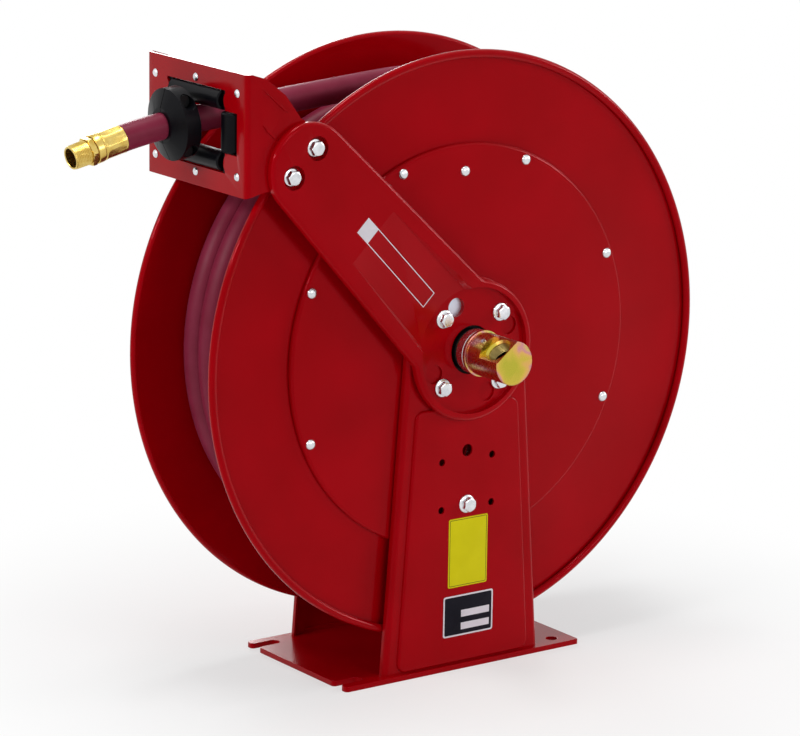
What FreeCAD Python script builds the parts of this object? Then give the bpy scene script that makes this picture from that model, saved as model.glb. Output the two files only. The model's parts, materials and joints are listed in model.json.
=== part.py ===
"""Spring-rewind hose reel on two pressed pedestals, with guide arms, a four-roller guide and a wound hose.

Lengths are in millimetres. +Z is up, the reel turns about an axis along Y, and the hose leaves towards -X.
The inlet swivel is on the -Y side. The origin is the centre of the base plate's underside.
"""

import FreeCAD, Part
import Sketcher
import math
import os

Vector = FreeCAD.Vector
document = FreeCAD.newDocument("hose_reel")

# ---------------------------------------------------------------- driving dimensions

DIMENSIONS = [
    ("hub_height", 362.0, "hub axis above the floor"),
    ("hub_rise", 356.0, "hub axis above the top of the base plate"),
    ("base_thick", 6.0, "base plate thickness"),
    ("base_half_long", 160.0, "half the base plate along X"),
    ("base_half_wide", 98.0, "half the base plate along Y"),
    ("fix_x", 135.0, "fixing holes and slot ends from the middle, along X"),
    ("fix_y", 80.0, "fixing holes and slots from the middle, along Y"),
    ("fix_radius", 6.5, "fixing hole radius, and half a slot's width"),
    ("sheet", 2.5, "pressed sheet thickness"),
    ("ped_face", 92.0, "outer face of a pedestal's bands from the middle plane"),
    ("ped_depth", 9.0, "depth of a pedestal's bent-back edges"),
    ("ped_foot", 106.0, "half width of a pedestal at its foot"),
    ("ped_top", 79.5, "half width of a pedestal at the hub, and the radius of its top"),
    ("panel_rise", 3.0, "how far the pedestal panel stands proud"),
    ("boss_rise", 4.0, "how far the pedestal hub boss stands proud"),
    ("arm_face", 105.0, "outer face of an arm from the middle plane"),
    ("arm_depth", 9.0, "depth of an arm's bent-back edges"),
    ("arm_recess", 6.5, "depth of an arm's hub recess and bolt dimples"),
    ("arm_hub", 78.0, "outer radius of an arm's hub ring"),
    ("arm_hub_recess", 70.0, "radius of the recess inside the ring"),
    ("arm_tip_reach", 308.0, "hub to the centre of the arm's round tip"),
    ("arm_tip", 50.0, "radius of the arm's round tip"),
    ("arm_root", 60.0, "half width of the arm beside the hub, less 4"),
    ("arm_turn", 134.5, "arm direction in degrees from +X"),
    ("arm_bolt_reach", 318.8, "hub to the arm-tip bolts along the arm"),
    ("arm_bolt_side", 20.3, "arm-tip bolts each side of the arm's centre line"),
    ("hub_bore", 27.0, "radius of the hub hole in arms and pedestals"),
    ("bolt_circle", 53.9, "radius of the hub bolt circle"),
    ("bolt_clear", 5.2, "clearance hole radius for a 3/8 in bolt"),
    ("bolt_radius", 4.7, "3/8 in bolt shank radius"),
    ("rim_radius", 320.5, "radius of the disc to the middle of its rolled rim"),
    ("bead", 4.5, "outer radius of the rolled rim"),
    ("disc_inner", 72.5, "inner face of a disc from the middle plane"),
    ("disc_step", 77.0, "inner face of the disc inside its step"),
    ("disc_sheet", 2.0, "disc and cover sheet thickness"),
    ("step_radius", 217.8, "radius of the step in a disc"),
    ("cover_radius", 224.0, "radius of a cover plate"),
    ("cover_face", 81.0, "outer face of a cover plate from the middle plane"),
    ("screw_circle", 215.0, "radius of the cover screw circle"),
    ("drum_radius", 210.0, "outer radius of the hose drum"),
    ("axle_radius", 17.5, "axle and arbor radius"),
    ("fit", 0.05, "radial clearance of a running fit"),
    ("hose_radius", 14.3, "outer radius of the hose"),
    ("turn_radius", 224.5, "centre radius of the hose's first layer"),
    ("guide_height", 259.0, "middle of the roller window above the hub"),
    ("guide_face", 292.0, "front face of the roller bracket from the hub, along -X"),
    ("guide_half_wide", 96.0, "outer faces of the bracket's flanges"),
    ("guide_half_tall", 64.5, "half height of the bracket's front plate"),
    ("window_half_wide", 55.7, "half width of the main window"),
    ("window_half_tall", 43.5, "half height of the main window"),
    ("notch_half_wide", 78.0, "half width over the side notches"),
    ("notch_half_tall", 22.3, "half height of the side notches"),
    ("roller_axis", 283.5, "roller axes from the hub, along -X"),
    ("roller_radius", 11.0, "roller radius"),
    ("roller_pin", 3.0, "roller pin radius"),
    ("level_roller_side", 32.3, "upper and lower roller axes from the window's middle"),
    ("level_roller_half", 48.0, "half length of the upper and lower rollers"),
    ("upright_roller_side", 59.5, "side roller axes from the middle plane"),
    ("upright_roller_half", 21.0, "half length of the side rollers"),
    ("pawl_drop", 174.0, "pawl pivot below the hub"),
    ("pawl_lean", 15.0, "parked pawl's lean towards +X in degrees"),
    ("sprocket_root", 57.0, "ratchet sprocket radius between teeth"),
    ("sprocket_tip", 66.0, "ratchet sprocket radius at its teeth"),
    ("swivel_radius", 24.0, "swivel body radius"),
    ("swivel_end", 176.0, "outer end of the swivel from the middle plane"),
    ("port_radius", 12.6, "bore of the 3/4 in pipe thread in the swivel"),
    ("port_turn", 128.0, "direction of the inlet port in degrees from +X"),
    ("case_radius", 140.0, "outer radius of the spring case"),
    ("stop_radius", 38.5, "radius of the hose stop"),
]

sheet_of_sizes = document.addObject("Spreadsheet::Sheet", "Dims")
for row, (alias, value, note) in enumerate(DIMENSIONS, start=1):
    sheet_of_sizes.set("A%d" % row, alias)
    sheet_of_sizes.set("B%d" % row, str(value))
    sheet_of_sizes.set("C%d" % row, note)
    sheet_of_sizes.setAlias("B%d" % row, alias)
document.recompute()


class Size:
    """A length with the spreadsheet expression that gives it."""

    def __init__(self, value, text):
        self.value = value
        self.text = text

    def combine(self, other, sign, result):
        text = other.text if isinstance(other, Size) else repr(float(other))
        return Size(result, "(%s %s %s)" % (self.text, sign, text))

    def __add__(self, other):
        return self.combine(other, "+", self.value + number(other))

    def __sub__(self, other):
        return self.combine(other, "-", self.value - number(other))

    def __mul__(self, other):
        return self.combine(other, "*", self.value * number(other))

    def __truediv__(self, other):
        return self.combine(other, "/", self.value / number(other))

    def __neg__(self):
        return Size(-self.value, "(0 - %s)" % self.text)

    def __rsub__(self, other):
        return -self + other

    __radd__ = __add__
    __rmul__ = __mul__


def number(size):
    """The plain number of a Size or a float."""
    return size.value if isinstance(size, Size) else float(size)


def dim(alias):
    """A driving dimension as a Size."""
    return Size(sheet_of_sizes.get(alias), "Dims." + alias)


def bind(item, name, size):
    """Give a property its value and, where it comes from the sheet, its expression."""
    if isinstance(size, Size):
        item.setExpression(name, size.text)
    else:
        setattr(item, name, size)


# ---------------------------------------------------------------- sketches and features

SUB_PARTS = []
HUB = number(dim("hub_height"))
X_AXIS = Vector(1, 0, 0)
Y_AXIS = Vector(0, 1, 0)
Z_AXIS = Vector(0, 0, 1)


def turn(axis, degrees):
    return FreeCAD.Rotation(axis, degrees)


def place(item, x=0.0, y=0.0, z=0.0, rotation=None):
    """Put an object at a point, with a rotation."""
    item.Placement = FreeCAD.Placement(Vector(x, y, z), rotation or FreeCAD.Rotation())


def keep(item, node):
    """Name a finished sub-part and list it for export."""
    item.Label = node
    SUB_PARTS.append(item)
    return item


def new_body(node):
    return keep(document.addObject("PartDesign::Body", "Body_" + node), node)


def sketch_on(body, name, plane, offset=0.0):
    """A sketch on one of the body's own origin planes, moved along the plane's normal."""
    sketch = body.newObject("Sketcher::SketchObject", name)
    base = [item for item in body.Origin.OriginFeatures if item.Role == plane][0]
    sketch.AttachmentSupport = [(base, "")]
    sketch.MapMode = "FlatFace"
    sketch.AttachmentOffset = FreeCAD.Placement(Vector(0, 0, number(offset)), FreeCAD.Rotation())
    if isinstance(offset, Size):
        sketch.setExpression("AttachmentOffset.Base.z", offset.text)
    return sketch


def fix_point(sketch, geometry, point, x, y):
    """Hold a sketch point at x, y from the origin."""
    for size, axis, kind in ((x, -2, "DistanceX"), (y, -1, "DistanceY")):
        if abs(number(size)) < 1e-9:
            sketch.addConstraint(Sketcher.Constraint("PointOnObject", geometry, point, axis))
            continue
        index = sketch.addConstraint(Sketcher.Constraint(kind, geometry, point, number(size)))
        if isinstance(size, Size):
            sketch.setExpression("Constraints[%d]" % index, size.text)


def circles(sketch, rings):
    """Add circles given as (x, y, radius)."""
    for x, y, radius in rings:
        centre = Vector(number(x), number(y), 0)
        index = sketch.addGeometry(Part.Circle(centre, Z_AXIS, number(radius)), False)
        if abs(number(x)) < 1e-9 and abs(number(y)) < 1e-9:
            sketch.addConstraint(Sketcher.Constraint("Coincident", index, 3, -1, 1))
        else:
            fix_point(sketch, index, 3, x, y)
        rule = sketch.addConstraint(Sketcher.Constraint("Radius", index, number(radius)))
        if isinstance(radius, Size):
            sketch.setExpression("Constraints[%d]" % rule, radius.text)
    return sketch


def polygon(sketch, points):
    """Add a closed outline of straight lines through the points."""
    first = sketch.GeometryCount
    count = len(points)
    corners = [Vector(number(x), number(y), 0) for x, y in points]
    for index in range(count):
        sketch.addGeometry(Part.LineSegment(corners[index], corners[(index + 1) % count]), False)
    for index in range(count):
        after = first + (index + 1) % count
        sketch.addConstraint(Sketcher.Constraint("Coincident", first + index, 2, after, 1))
    for index, (x, y) in enumerate(points):
        fix_point(sketch, first + index, 1, x, y)
    return sketch


def checked(body, feature, adds):
    """Recompute, and stop where the feature failed or changed the volume the wrong way."""
    before = feature.BaseFeature.Shape.Volume if feature.BaseFeature else 0.0
    document.recompute()
    if not feature.isValid() or feature.Shape.isNull():
        raise RuntimeError("%s in %s failed" % (feature.Name, body.Label))
    change = feature.Shape.Volume - before
    if (adds and change <= 1e-3) or (adds is False and change >= -1e-3):
        raise RuntimeError("%s in %s changed nothing" % (feature.Name, body.Label))
    return feature


def pad(body, sketch, length, back=False, middle=False):
    feature = body.newObject("PartDesign::Pad", "Pad_" + sketch.Name)
    feature.Profile = sketch
    feature.Midplane = middle
    feature.Reversed = back
    bind(feature, "Length", length)
    return checked(body, feature, True)


def pocket(body, sketch, length, back=False, middle=False):
    """Cut against the sketch's normal, or along it where back is true."""
    feature = body.newObject("PartDesign::Pocket", "Pocket_" + sketch.Name)
    feature.Profile = sketch
    feature.Midplane = middle
    feature.Reversed = back
    bind(feature, "Length", length)
    return checked(body, feature, False)


def revolve(body, sketch, angle=360.0, cut=False, axis="V_Axis"):
    kind = "Groove" if cut else "Revolution"
    feature = body.newObject("PartDesign::" + kind, kind + "_" + sketch.Name)
    feature.Profile = sketch
    feature.ReferenceAxis = (sketch, [axis])
    feature.Angle = angle
    return checked(body, feature, not cut)


def polar(body, feature, count, plane_axis):
    """Repeat a feature about one of the body's axes."""
    pattern = body.newObject("PartDesign::PolarPattern", "Polar_" + feature.Name)
    axis = [item for item in body.Origin.OriginFeatures if item.Role == plane_axis][0]
    pattern.Originals = [feature]
    pattern.Axis = (axis, [""])
    pattern.Angle = 360.0
    pattern.Occurrences = count
    body.Tip = pattern
    document.recompute()
    return pattern


def rounded(body, radius, wanted, kind="Fillet"):
    """Fillet, or chamfer, the edges whose middle point and edge pass the test."""
    tip = body.Tip
    names = []
    for index, edge in enumerate(tip.Shape.Edges, start=1):
        middle = edge.valueAt(0.5 * (edge.FirstParameter + edge.LastParameter))
        if wanted(middle, edge):
            names.append("Edge%d" % index)
    feature = body.newObject("PartDesign::" + kind, "%s_%s_%d" % (kind, body.Name, len(body.Group)))
    feature.Base = (tip, names)
    bind(feature, "Radius" if kind == "Fillet" else "Size", radius)
    document.recompute()
    if not names or not feature.isValid():
        raise RuntimeError("fillet in %s failed on %d edges" % (body.Label, len(names)))
    return feature


def is_straight(edge):
    return edge.Curve.TypeId == "Part::GeomLine"


def polar_point(radius, degrees):
    """x, y of a point at a radius and angle, as Sizes where the radius is one."""
    return radius * math.cos(math.radians(degrees)), radius * math.sin(math.radians(degrees))


# ---------------------------------------------------------------- simple solids

def cylinder(name, radius, height, x=0.0, y=0.0, z=0.0, rotation=None):
    item = document.addObject("Part::Cylinder", name)
    bind(item, "Radius", radius)
    bind(item, "Height", height)
    place(item, x, y, z, rotation)
    return item


def fuse(name, shapes):
    item = document.addObject("Part::MultiFuse", name)
    item.Shapes = shapes
    return item


def cut(name, base, tool):
    item = document.addObject("Part::Cut", name)
    item.Base = base
    item.Tool = tool
    return item


def group(node, items):
    """Identical separate solids that share one node."""
    item = document.addObject("Part::Compound", "Group_" + node)
    item.Links = items
    return keep(item, node)


def flange_bolt(name, shank, length, across=14.3, flange=9.5):
    """A hexagon flange bolt along Z: the seat is at z = 0, and the head is above it."""
    head_height = 6.6
    washer_height = 1.9
    hexagon = document.addObject("Part::Prism", name + "_hexagon")
    hexagon.Polygon = 6
    hexagon.Circumradius = across / math.sqrt(3.0)
    hexagon.Height = head_height + washer_height
    washer = document.addObject("Part::Cone", name + "_washer")
    washer.Radius1 = flange
    washer.Radius2 = flange - 1.2
    washer.Height = washer_height
    stem = cylinder(name + "_stem", shank, length, z=-number(length))
    return fuse(name, [hexagon, washer, stem])


def hexagon_nut(name, hole, height=8.0, across=14.3):
    """A hexagon nut along Z, standing on z = 0."""
    prism = document.addObject("Part::Prism", name + "_prism")
    prism.Polygon = 6
    prism.Circumradius = across / math.sqrt(3.0)
    prism.Height = height
    return cut(name, prism, cylinder(name + "_hole", hole, height + 2.0, z=-1.0))


TOWARDS_INLET = turn(X_AXIS, 90.0)      # a piece's own +Z points to -Y
TOWARDS_SPRING = turn(X_AXIS, -90.0)    # a piece's own +Z points to +Y
FLIP = turn(Z_AXIS, 180.0)              # the spring side's copy of an inlet-side pressing


# ---------------------------------------------------------------- base plate and pedestals

def make_base_plate():
    body = new_body("base_plate")
    half_long, half_wide = dim("base_half_long"), dim("base_half_wide")
    outline = sketch_on(body, "base_outline", "XY_Plane")
    polygon(outline, [(-half_long, -half_wide), (half_long, -half_wide), (half_long, half_wide), (-half_long, half_wide)])
    pad(body, outline, dim("base_thick"))
    fix_x, fix_y, radius = dim("fix_x"), dim("fix_y"), dim("fix_radius")
    slots = sketch_on(body, "base_slots", "XY_Plane", dim("base_thick"))
    for side in (fix_y, -fix_y):
        mouth = -(half_long + 10.0)
        polygon(slots, [(mouth, side - radius), (-fix_x, side - radius), (-fix_x, side + radius), (mouth, side + radius)])
    pocket(body, slots, dim("base_thick"))
    holes = sketch_on(body, "base_holes", "XY_Plane", dim("base_thick"))
    circles(holes, [(x, y, radius) for x in (-fix_x, fix_x) for y in (-fix_y, fix_y)])
    pocket(body, holes, dim("base_thick"))
    left = -number(half_long)
    rounded(body, 4.5, lambda p, e: abs(p.x - left) < 0.1 and is_straight(e) and abs(e.tangentAt(0).z) > 0.9)
    rounded(body, 3.0, lambda p, e: abs(p.x + left) < 0.1 and is_straight(e) and abs(e.tangentAt(0).z) > 0.9)


def make_pedestal(node, bolt_turn):
    """A pressed pedestal in the inlet side's place: bent-back edges, proud panel and hub boss."""
    body = new_body(node)
    face, depth, sheet = dim("ped_face"), dim("ped_depth"), dim("sheet")
    foot, top, floor = dim("ped_foot"), dim("ped_top"), -dim("hub_rise")
    back = face - depth
    outline = sketch_on(body, node + "_sides", "XZ_Plane", back)
    polygon(outline, [(-foot, floor), (foot, floor), (top, 0.0), (-top, 0.0)])
    pad(body, outline, depth)
    crown = sketch_on(body, node + "_crown", "XZ_Plane", back)
    circles(crown, [(0.0, 0.0, top)])
    pad(body, crown, depth)
    front = -number(face)
    ground = number(floor)
    rounded(body, 6.0, lambda p, e: abs(p.y - front) < 0.01 and p.z > ground + 1.0)
    panel_rise, boss_rise = dim("panel_rise"), dim("boss_rise")
    panel = sketch_on(body, node + "_panel", "XZ_Plane", face)
    low, high = -(dim("hub_rise") - 1.5), -62.0
    polygon(panel, [(-89.6, low), (89.6, low), (68.8, high), (-68.8, high)])
    pad(body, panel, panel_rise)
    proud = front - number(panel_rise)
    rounded(body, 11.0, lambda p, e: is_straight(e) and abs(e.tangentAt(0).y) > 0.9 and p.y < front - 0.5)
    rounded(body, 2.6, lambda p, e: abs(p.y - proud) < 0.01)
    boss = sketch_on(body, node + "_boss", "XZ_Plane", face)
    circles(boss, [(0.0, 0.0, 66.0)])
    pad(body, boss, boss_rise)
    hollow = sketch_on(body, node + "_hollow", "XZ_Plane", back)
    polygon(hollow, [(-foot + sheet, floor - 1.0), (foot - sheet, floor - 1.0), (top - sheet, 0.0), (-top + sheet, 0.0)])
    pocket(body, hollow, depth - sheet, back=True)
    arch = sketch_on(body, node + "_arch", "XZ_Plane", back)
    circles(arch, [(0.0, 0.0, top - sheet)])
    pocket(body, arch, depth - sheet, back=True)
    inner = face - sheet
    dish = sketch_on(body, node + "_dish", "XZ_Plane", inner)
    polygon(dish, [(-86.6, low + 3.0), (86.6, low + 3.0), (66.2, high - 3.0), (-66.2, high - 3.0)])
    pocket(body, dish, panel_rise, back=True)
    cup = sketch_on(body, node + "_cup", "XZ_Plane", inner)
    circles(cup, [(0.0, 0.0, 66.0 - sheet)])
    pocket(body, cup, boss_rise, back=True)
    holes = sketch_on(body, node + "_holes", "XZ_Plane", face + boss_rise)
    rings = [(0.0, 0.0, dim("hub_bore"))]
    for step in range(4):
        x, y = polar_point(dim("bolt_circle"), 45.0 + bolt_turn + 90.0 * step)
        rings.append((x, y, dim("bolt_clear")))
    x, y = polar_point(dim("bolt_circle"), 114.0)
    rings.append((x, y, 10.5))
    rings.append((0.0, -113.5, 6.8))
    rings.append((0.0, -dim("pawl_drop"), dim("bolt_clear")))
    for x, y in ((-34.0, -122.8), (34.0, -122.8), (-34.0, -177.0), (34.0, -177.0)):
        rings.append((x, y, 4.0))
    circles(holes, rings)
    pocket(body, holes, 20.0)
    return body


make_base_plate()
inlet_pedestal = make_pedestal("inlet_pedestal", -0.5)
place(inlet_pedestal, z=HUB)
spring_pedestal = make_pedestal("spring_pedestal", 0.5)
place(spring_pedestal, z=HUB, rotation=FLIP)


# ---------------------------------------------------------------- guide arms and roller bracket

def make_guide_arm(node):
    """A pressed arm: its length runs along the body's X and its width along Z; the face is towards -Y."""
    body = new_body(node)
    face, depth, sheet, recess = dim("arm_face"), dim("arm_depth"), dim("sheet"), dim("arm_recess")
    reach, tip, hub, root = dim("arm_tip_reach"), dim("arm_tip"), dim("arm_hub"), dim("arm_root")
    back = face - depth
    bar = sketch_on(body, node + "_bar", "XZ_Plane", back)
    polygon(bar, [(0.0, -root - 4.0), (reach, -tip), (reach, tip), (0.0, root + 4.0)])
    pad(body, bar, depth)
    ends = sketch_on(body, node + "_ring", "XZ_Plane", back)
    circles(ends, [(0.0, 0.0, hub)])
    pad(body, ends, depth)
    ends = sketch_on(body, node + "_end", "XZ_Plane", back)
    circles(ends, [(reach, 0.0, tip)])
    pad(body, ends, depth)
    waist = 60.0
    rounded(body, 14.0, lambda p, e: is_straight(e) and abs(e.tangentAt(0).y) > 0.9 and 5.0 < p.x < waist)
    front = -number(face)
    rounded(body, 4.5, lambda p, e: abs(p.y - front) < 0.01)
    hollow = sketch_on(body, node + "_bar_hollow", "XZ_Plane", back)
    polygon(hollow, [(0.0, -root - 4.0 + sheet), (reach, -tip + sheet), (reach, tip - sheet), (0.0, root + 4.0 - sheet)])
    pocket(body, hollow, recess, back=True)
    hollow = sketch_on(body, node + "_ring_hollow", "XZ_Plane", back)
    circles(hollow, [(0.0, 0.0, hub - sheet)])
    pocket(body, hollow, recess, back=True)
    hollow = sketch_on(body, node + "_end_hollow", "XZ_Plane", back)
    circles(hollow, [(reach, 0.0, tip - sheet)])
    pocket(body, hollow, recess, back=True)

    cup = sketch_on(body, node + "_cup", "XZ_Plane", back)
    circles(cup, [(0.0, 0.0, dim("arm_hub_recess") + sheet)])
    pad(body, cup, recess + 1.0)
    bolts = [(dim("arm_bolt_reach"), side) for side in (-dim("arm_bolt_side"), dim("arm_bolt_side"))]
    for index, (x, y) in enumerate(bolts):
        post = sketch_on(body, "%s_post_%d" % (node, index), "XZ_Plane", back)
        circles(post, [(x, y, 13.0 + sheet)])
        pad(body, post, recess + 1.0)

    floor = face - sheet
    loft(body, node + "_ramp_back", [
        (50.0, [(-floor + 5.3, -48.2), (-floor - 1.0, -48.2), (-floor - 1.0, 48.2), (-floor + 5.3, 48.2)]),
        (196.0, [(-floor + 0.1, -38.5), (-floor - 1.0, -38.5), (-floor - 1.0, 38.5), (-floor + 0.1, 38.5)]),
    ], True)
    dish = sketch_on(body, node + "_recess", "XZ_Plane", face)
    circles(dish, [(0.0, 0.0, dim("arm_hub_recess"))])
    pocket(body, dish, recess)
    dimples = sketch_on(body, node + "_dimples", "XZ_Plane", face)
    circles(dimples, [(x, y, 13.0) for x, y in bolts])
    pocket(body, dimples, recess)
    loft(body, node + "_ramp", [
        (50.0, [(-face + 5.3, -40.3), (-face - 1.0, -46.6), (-face - 1.0, 46.6), (-face + 5.3, 40.3)]),
        (196.0, [(-face + 0.1, -36.0), (-face - 1.0, -37.2), (-face - 1.0, 37.2), (-face + 0.1, 36.0)]),
    ], False)

    holes = sketch_on(body, node + "_holes", "XZ_Plane", face)
    rings = [(0.0, 0.0, dim("hub_bore"))]
    for step in range(4):
        x, y = polar_point(dim("bolt_circle"), 90.0 * step)
        rings.append((x, y, dim("bolt_clear")))
        x, y = polar_point(dim("bolt_circle"), 90.0 * step - 21.0)
        rings.append((x, y, 10.5))
    rings += [(x, y, dim("bolt_clear")) for x, y in bolts]
    circles(holes, rings)
    pocket(body, holes, depth)
    return body


def loft(body, name, sections, adds):
    """A ruled loft between outlines on planes across the body's X."""
    profiles = []
    for index, (offset, points) in enumerate(sections):
        sketch = sketch_on(body, "%s_%d" % (name, index), "YZ_Plane", offset)
        profiles.append(polygon(sketch, points))
    kind = "Additive" if adds else "Subtractive"
    feature = body.newObject("PartDesign::%sLoft" % kind, kind + name)
    feature.Profile = profiles[0]
    feature.Sections = profiles[1:]
    feature.Ruled = True
    return checked(body, feature, adds)


def make_roller_bracket():
    body = new_body("roller_bracket")
    face, wide, sheet = dim("guide_face"), dim("guide_half_wide"), dim("sheet")
    rise, tall = dim("guide_height"), dim("guide_half_tall")
    tip_x, tip_z = polar_point(dim("arm_tip_reach"), number(dim("arm_turn")))
    bottom, top = rise - tall, rise + tall
    flanges = sketch_on(body, "bracket_side", "XZ_Plane")
    polygon(flanges, [
        (-face, bottom), (-face, top), (-285.0, top), (-268.0, 318.0), (-243.5, 299.0), (-224.5, 273.6),
        (-206.0, 262.5), (-192.0, 257.0), (-176.0, 238.0), (-173.0, 212.0), (-182.0, 192.0), (-204.0, 178.0),
        (-228.0, 178.5), (-255.0, 201.0), (-271.0, 199.4),
    ])
    pad(body, flanges, wide * 2.0, middle=True)
    inside = sketch_on(body, "bracket_inside", "XZ_Plane")
    polygon(inside, [(-face + sheet, 100.0), (0.0, 100.0), (0.0, 400.0), (-face + sheet, 400.0)])
    pocket(body, inside, (wide - sheet) * 2.0, middle=True)
    front, side = -number(face), number(wide)
    rounded(body, 6.0, lambda p, e: abs(p.x - front) < 0.01 and abs(abs(p.y) - side) < 0.01)
    rounded(body, 3.5, lambda p, e: abs(p.x - front - 2.5) < 0.01 and abs(abs(p.y) - side + 2.5) < 0.01
            and abs(e.tangentAt(0).z) > 0.9)
    window = sketch_on(body, "bracket_window", "YZ_Plane", -face)
    wide_in, tall_in = dim("window_half_wide"), dim("window_half_tall")
    polygon(window, window_outline(rise, wide_in, tall_in, dim("notch_half_wide"), dim("notch_half_tall")))
    pocket(body, window, sheet, back=True)
    for index, (y, z) in enumerate([(-1, -1), (1, -1), (1, 1), (-1, 1)]):
        lobe = sketch_on(body, "bracket_lobe_%d" % index, "YZ_Plane", -face)
        circles(lobe, [(63.5 * y, rise + 33.0 * z, 11.0)])
        pad(body, lobe, sheet)
    for side in (wide, -wide + 2.0):
        for index, points in enumerate(([(-272.0, 307.0), (-266.0, 302.5), (-240.0, 281.0), (-246.0, 283.5)],
                                        [(-272.0, 270.0), (-267.0, 263.0), (-256.0, 253.5), (-261.0, 261.5)])):
            rib = sketch_on(body, "bracket_rib_%d_%d" % (index, int(number(side))), "XZ_Plane", side)
            polygon(rib, points)
            pad(body, rib, 2.0)
    holes = sketch_on(body, "bracket_arm_holes", "XZ_Plane")
    circles(holes, [(x, z, dim("bolt_clear")) for x, z in ARM_BOLTS])
    pocket(body, holes, wide * 2.0 + 10.0, middle=True)
    rivets = sketch_on(body, "bracket_rivet_holes", "YZ_Plane", -face)
    circles(rivets, [(y, rise + z, 2.5) for y, z in RIVETS])
    pocket(body, rivets, sheet, back=True)
    place(body, z=HUB)
    return body


def window_outline(rise, wide, tall, notch_wide, notch_tall):
    """A rectangle with a shorter notch on each side, centred at z = rise."""
    return [(-wide, rise - tall), (wide, rise - tall), (wide, rise - notch_tall), (notch_wide, rise - notch_tall),
            (notch_wide, rise + notch_tall), (wide, rise + notch_tall), (wide, rise + tall), (-wide, rise + tall),
            (-wide, rise + notch_tall), (-notch_wide, rise + notch_tall), (-notch_wide, rise - notch_tall),
            (-wide, rise - notch_tall)]


def arm_bolt_points():
    turned = math.radians(number(dim("arm_turn")))
    points = []
    for side in (-1.0, 1.0):
        along, across = dim("arm_bolt_reach"), dim("arm_bolt_side") * side
        points.append((along * math.cos(turned) - across * math.sin(turned),
                       along * math.sin(turned) + across * math.cos(turned)))
    return points


ARM_BOLTS = arm_bolt_points()
RIVETS = [(-78.7, -43.6), (78.7, -43.6), (-78.7, 43.6), (78.7, 43.6), (0.0, -50.0), (0.0, 50.0)]

ARM_TURN = turn(Y_AXIS, -number(dim("arm_turn")))
inlet_arm = make_guide_arm("inlet_guide_arm")
place(inlet_arm, z=HUB, rotation=ARM_TURN)
spring_arm = make_guide_arm("spring_guide_arm")
place(spring_arm, z=HUB, rotation=ARM_TURN.multiply(turn(X_AXIS, 180.0)))
make_roller_bracket()


# ---------------------------------------------------------------- rollers and their frame

GUIDE_Z = HUB + number(dim("guide_height"))
LEVEL_X = -number(dim("roller_axis")) - 2.5
UPRIGHT_X = -number(dim("roller_axis")) - 0.5


def make_roller_frame():
    """The moulded frame behind the window, whose four corner blocks hold the roller pins."""
    body = new_body("roller_frame")
    back = dim("guide_face") - dim("sheet")
    plate = sketch_on(body, "frame_plate", "YZ_Plane", -back)
    polygon(plate, [(-85.0, -56.0), (85.0, -56.0), (85.0, 56.0), (-85.0, 56.0)])
    pad(body, plate, 3.0)
    opening = sketch_on(body, "frame_opening", "YZ_Plane", -back)
    polygon(opening, window_outline(0.0, 49.0, 45.0, 77.0, 22.3))
    pocket(body, opening, 3.0, back=True)
    blocks = sketch_on(body, "frame_blocks", "YZ_Plane", -back)
    for y in (-1.0, 1.0):
        for z in (-1.0, 1.0):
            polygon(blocks, [(49.0 * y, 22.3 * z), (74.0 * y, 22.3 * z), (74.0 * y, 44.0 * z), (49.0 * y, 44.0 * z)])
    pad(body, blocks, 13.5)
    reach = number(dim("upright_roller_side"))
    level = sketch_on(body, "frame_level_pins", "XZ_Plane")
    drop = dim("level_roller_side")
    circles(level, [(LEVEL_X, side, dim("roller_pin") + 0.05) for side in (drop, -drop)])
    pocket(body, level, 121.0, middle=True)
    upright = sketch_on(body, "frame_upright_pins", "XY_Plane")
    circles(upright, [(UPRIGHT_X, side * reach, dim("roller_pin") + 0.05) for side in (1.0, -1.0)])
    pocket(body, upright, 57.0, middle=True)
    rivets = sketch_on(body, "frame_rivet_holes", "YZ_Plane", -back)
    circles(rivets, [(y, z, 2.5) for y, z in RIVETS])
    pocket(body, rivets, 3.0, back=True)
    place(body, z=GUIDE_Z)
    return body


def make_roller(node, half, radius, x, y, z, rotation):
    """A moulded roller with bevelled ends on a plain bore, along its own Y."""
    body = new_body(node)
    profile = sketch_on(body, node + "_profile", "XY_Plane")
    bore = dim("roller_pin") + dim("fit")
    polygon(profile, [(bore, -half), (radius - 1.5, -half), (radius, -half + 1.5), (radius, half - 1.5),
                      (radius - 1.5, half), (bore, half)])
    revolve(body, profile)
    place(body, x, y, z, rotation)
    return body


def make_rollers():
    pins = []
    drop = number(dim("level_roller_side"))
    side = number(dim("upright_roller_side"))
    upright = turn(X_AXIS, 90.0)
    for node, sign in (("upper_roller", 1.0), ("lower_roller", -1.0)):
        make_roller(node, dim("level_roller_half"), dim("roller_radius"), LEVEL_X, 0.0, GUIDE_Z + sign * drop, None)
    for node, sign in (("inlet_side_roller", -1.0), ("spring_side_roller", 1.0)):
        make_roller(node, dim("upright_roller_half"), dim("roller_radius") + 2.0, UPRIGHT_X, sign * side, GUIDE_Z,
                    upright)
    for sign in (1.0, -1.0):
        pin = cylinder("level_pin", dim("roller_pin"), 120.0, LEVEL_X, 60.0, GUIDE_Z + sign * drop, TOWARDS_INLET)
        pins.append(pin)
    group("level_roller_pins", pins)
    pins = []
    for sign in (1.0, -1.0):
        pins.append(cylinder("upright_pin", dim("roller_pin"), 56.0, UPRIGHT_X, sign * side, GUIDE_Z - 28.0))
    group("upright_roller_pins", pins)


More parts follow.
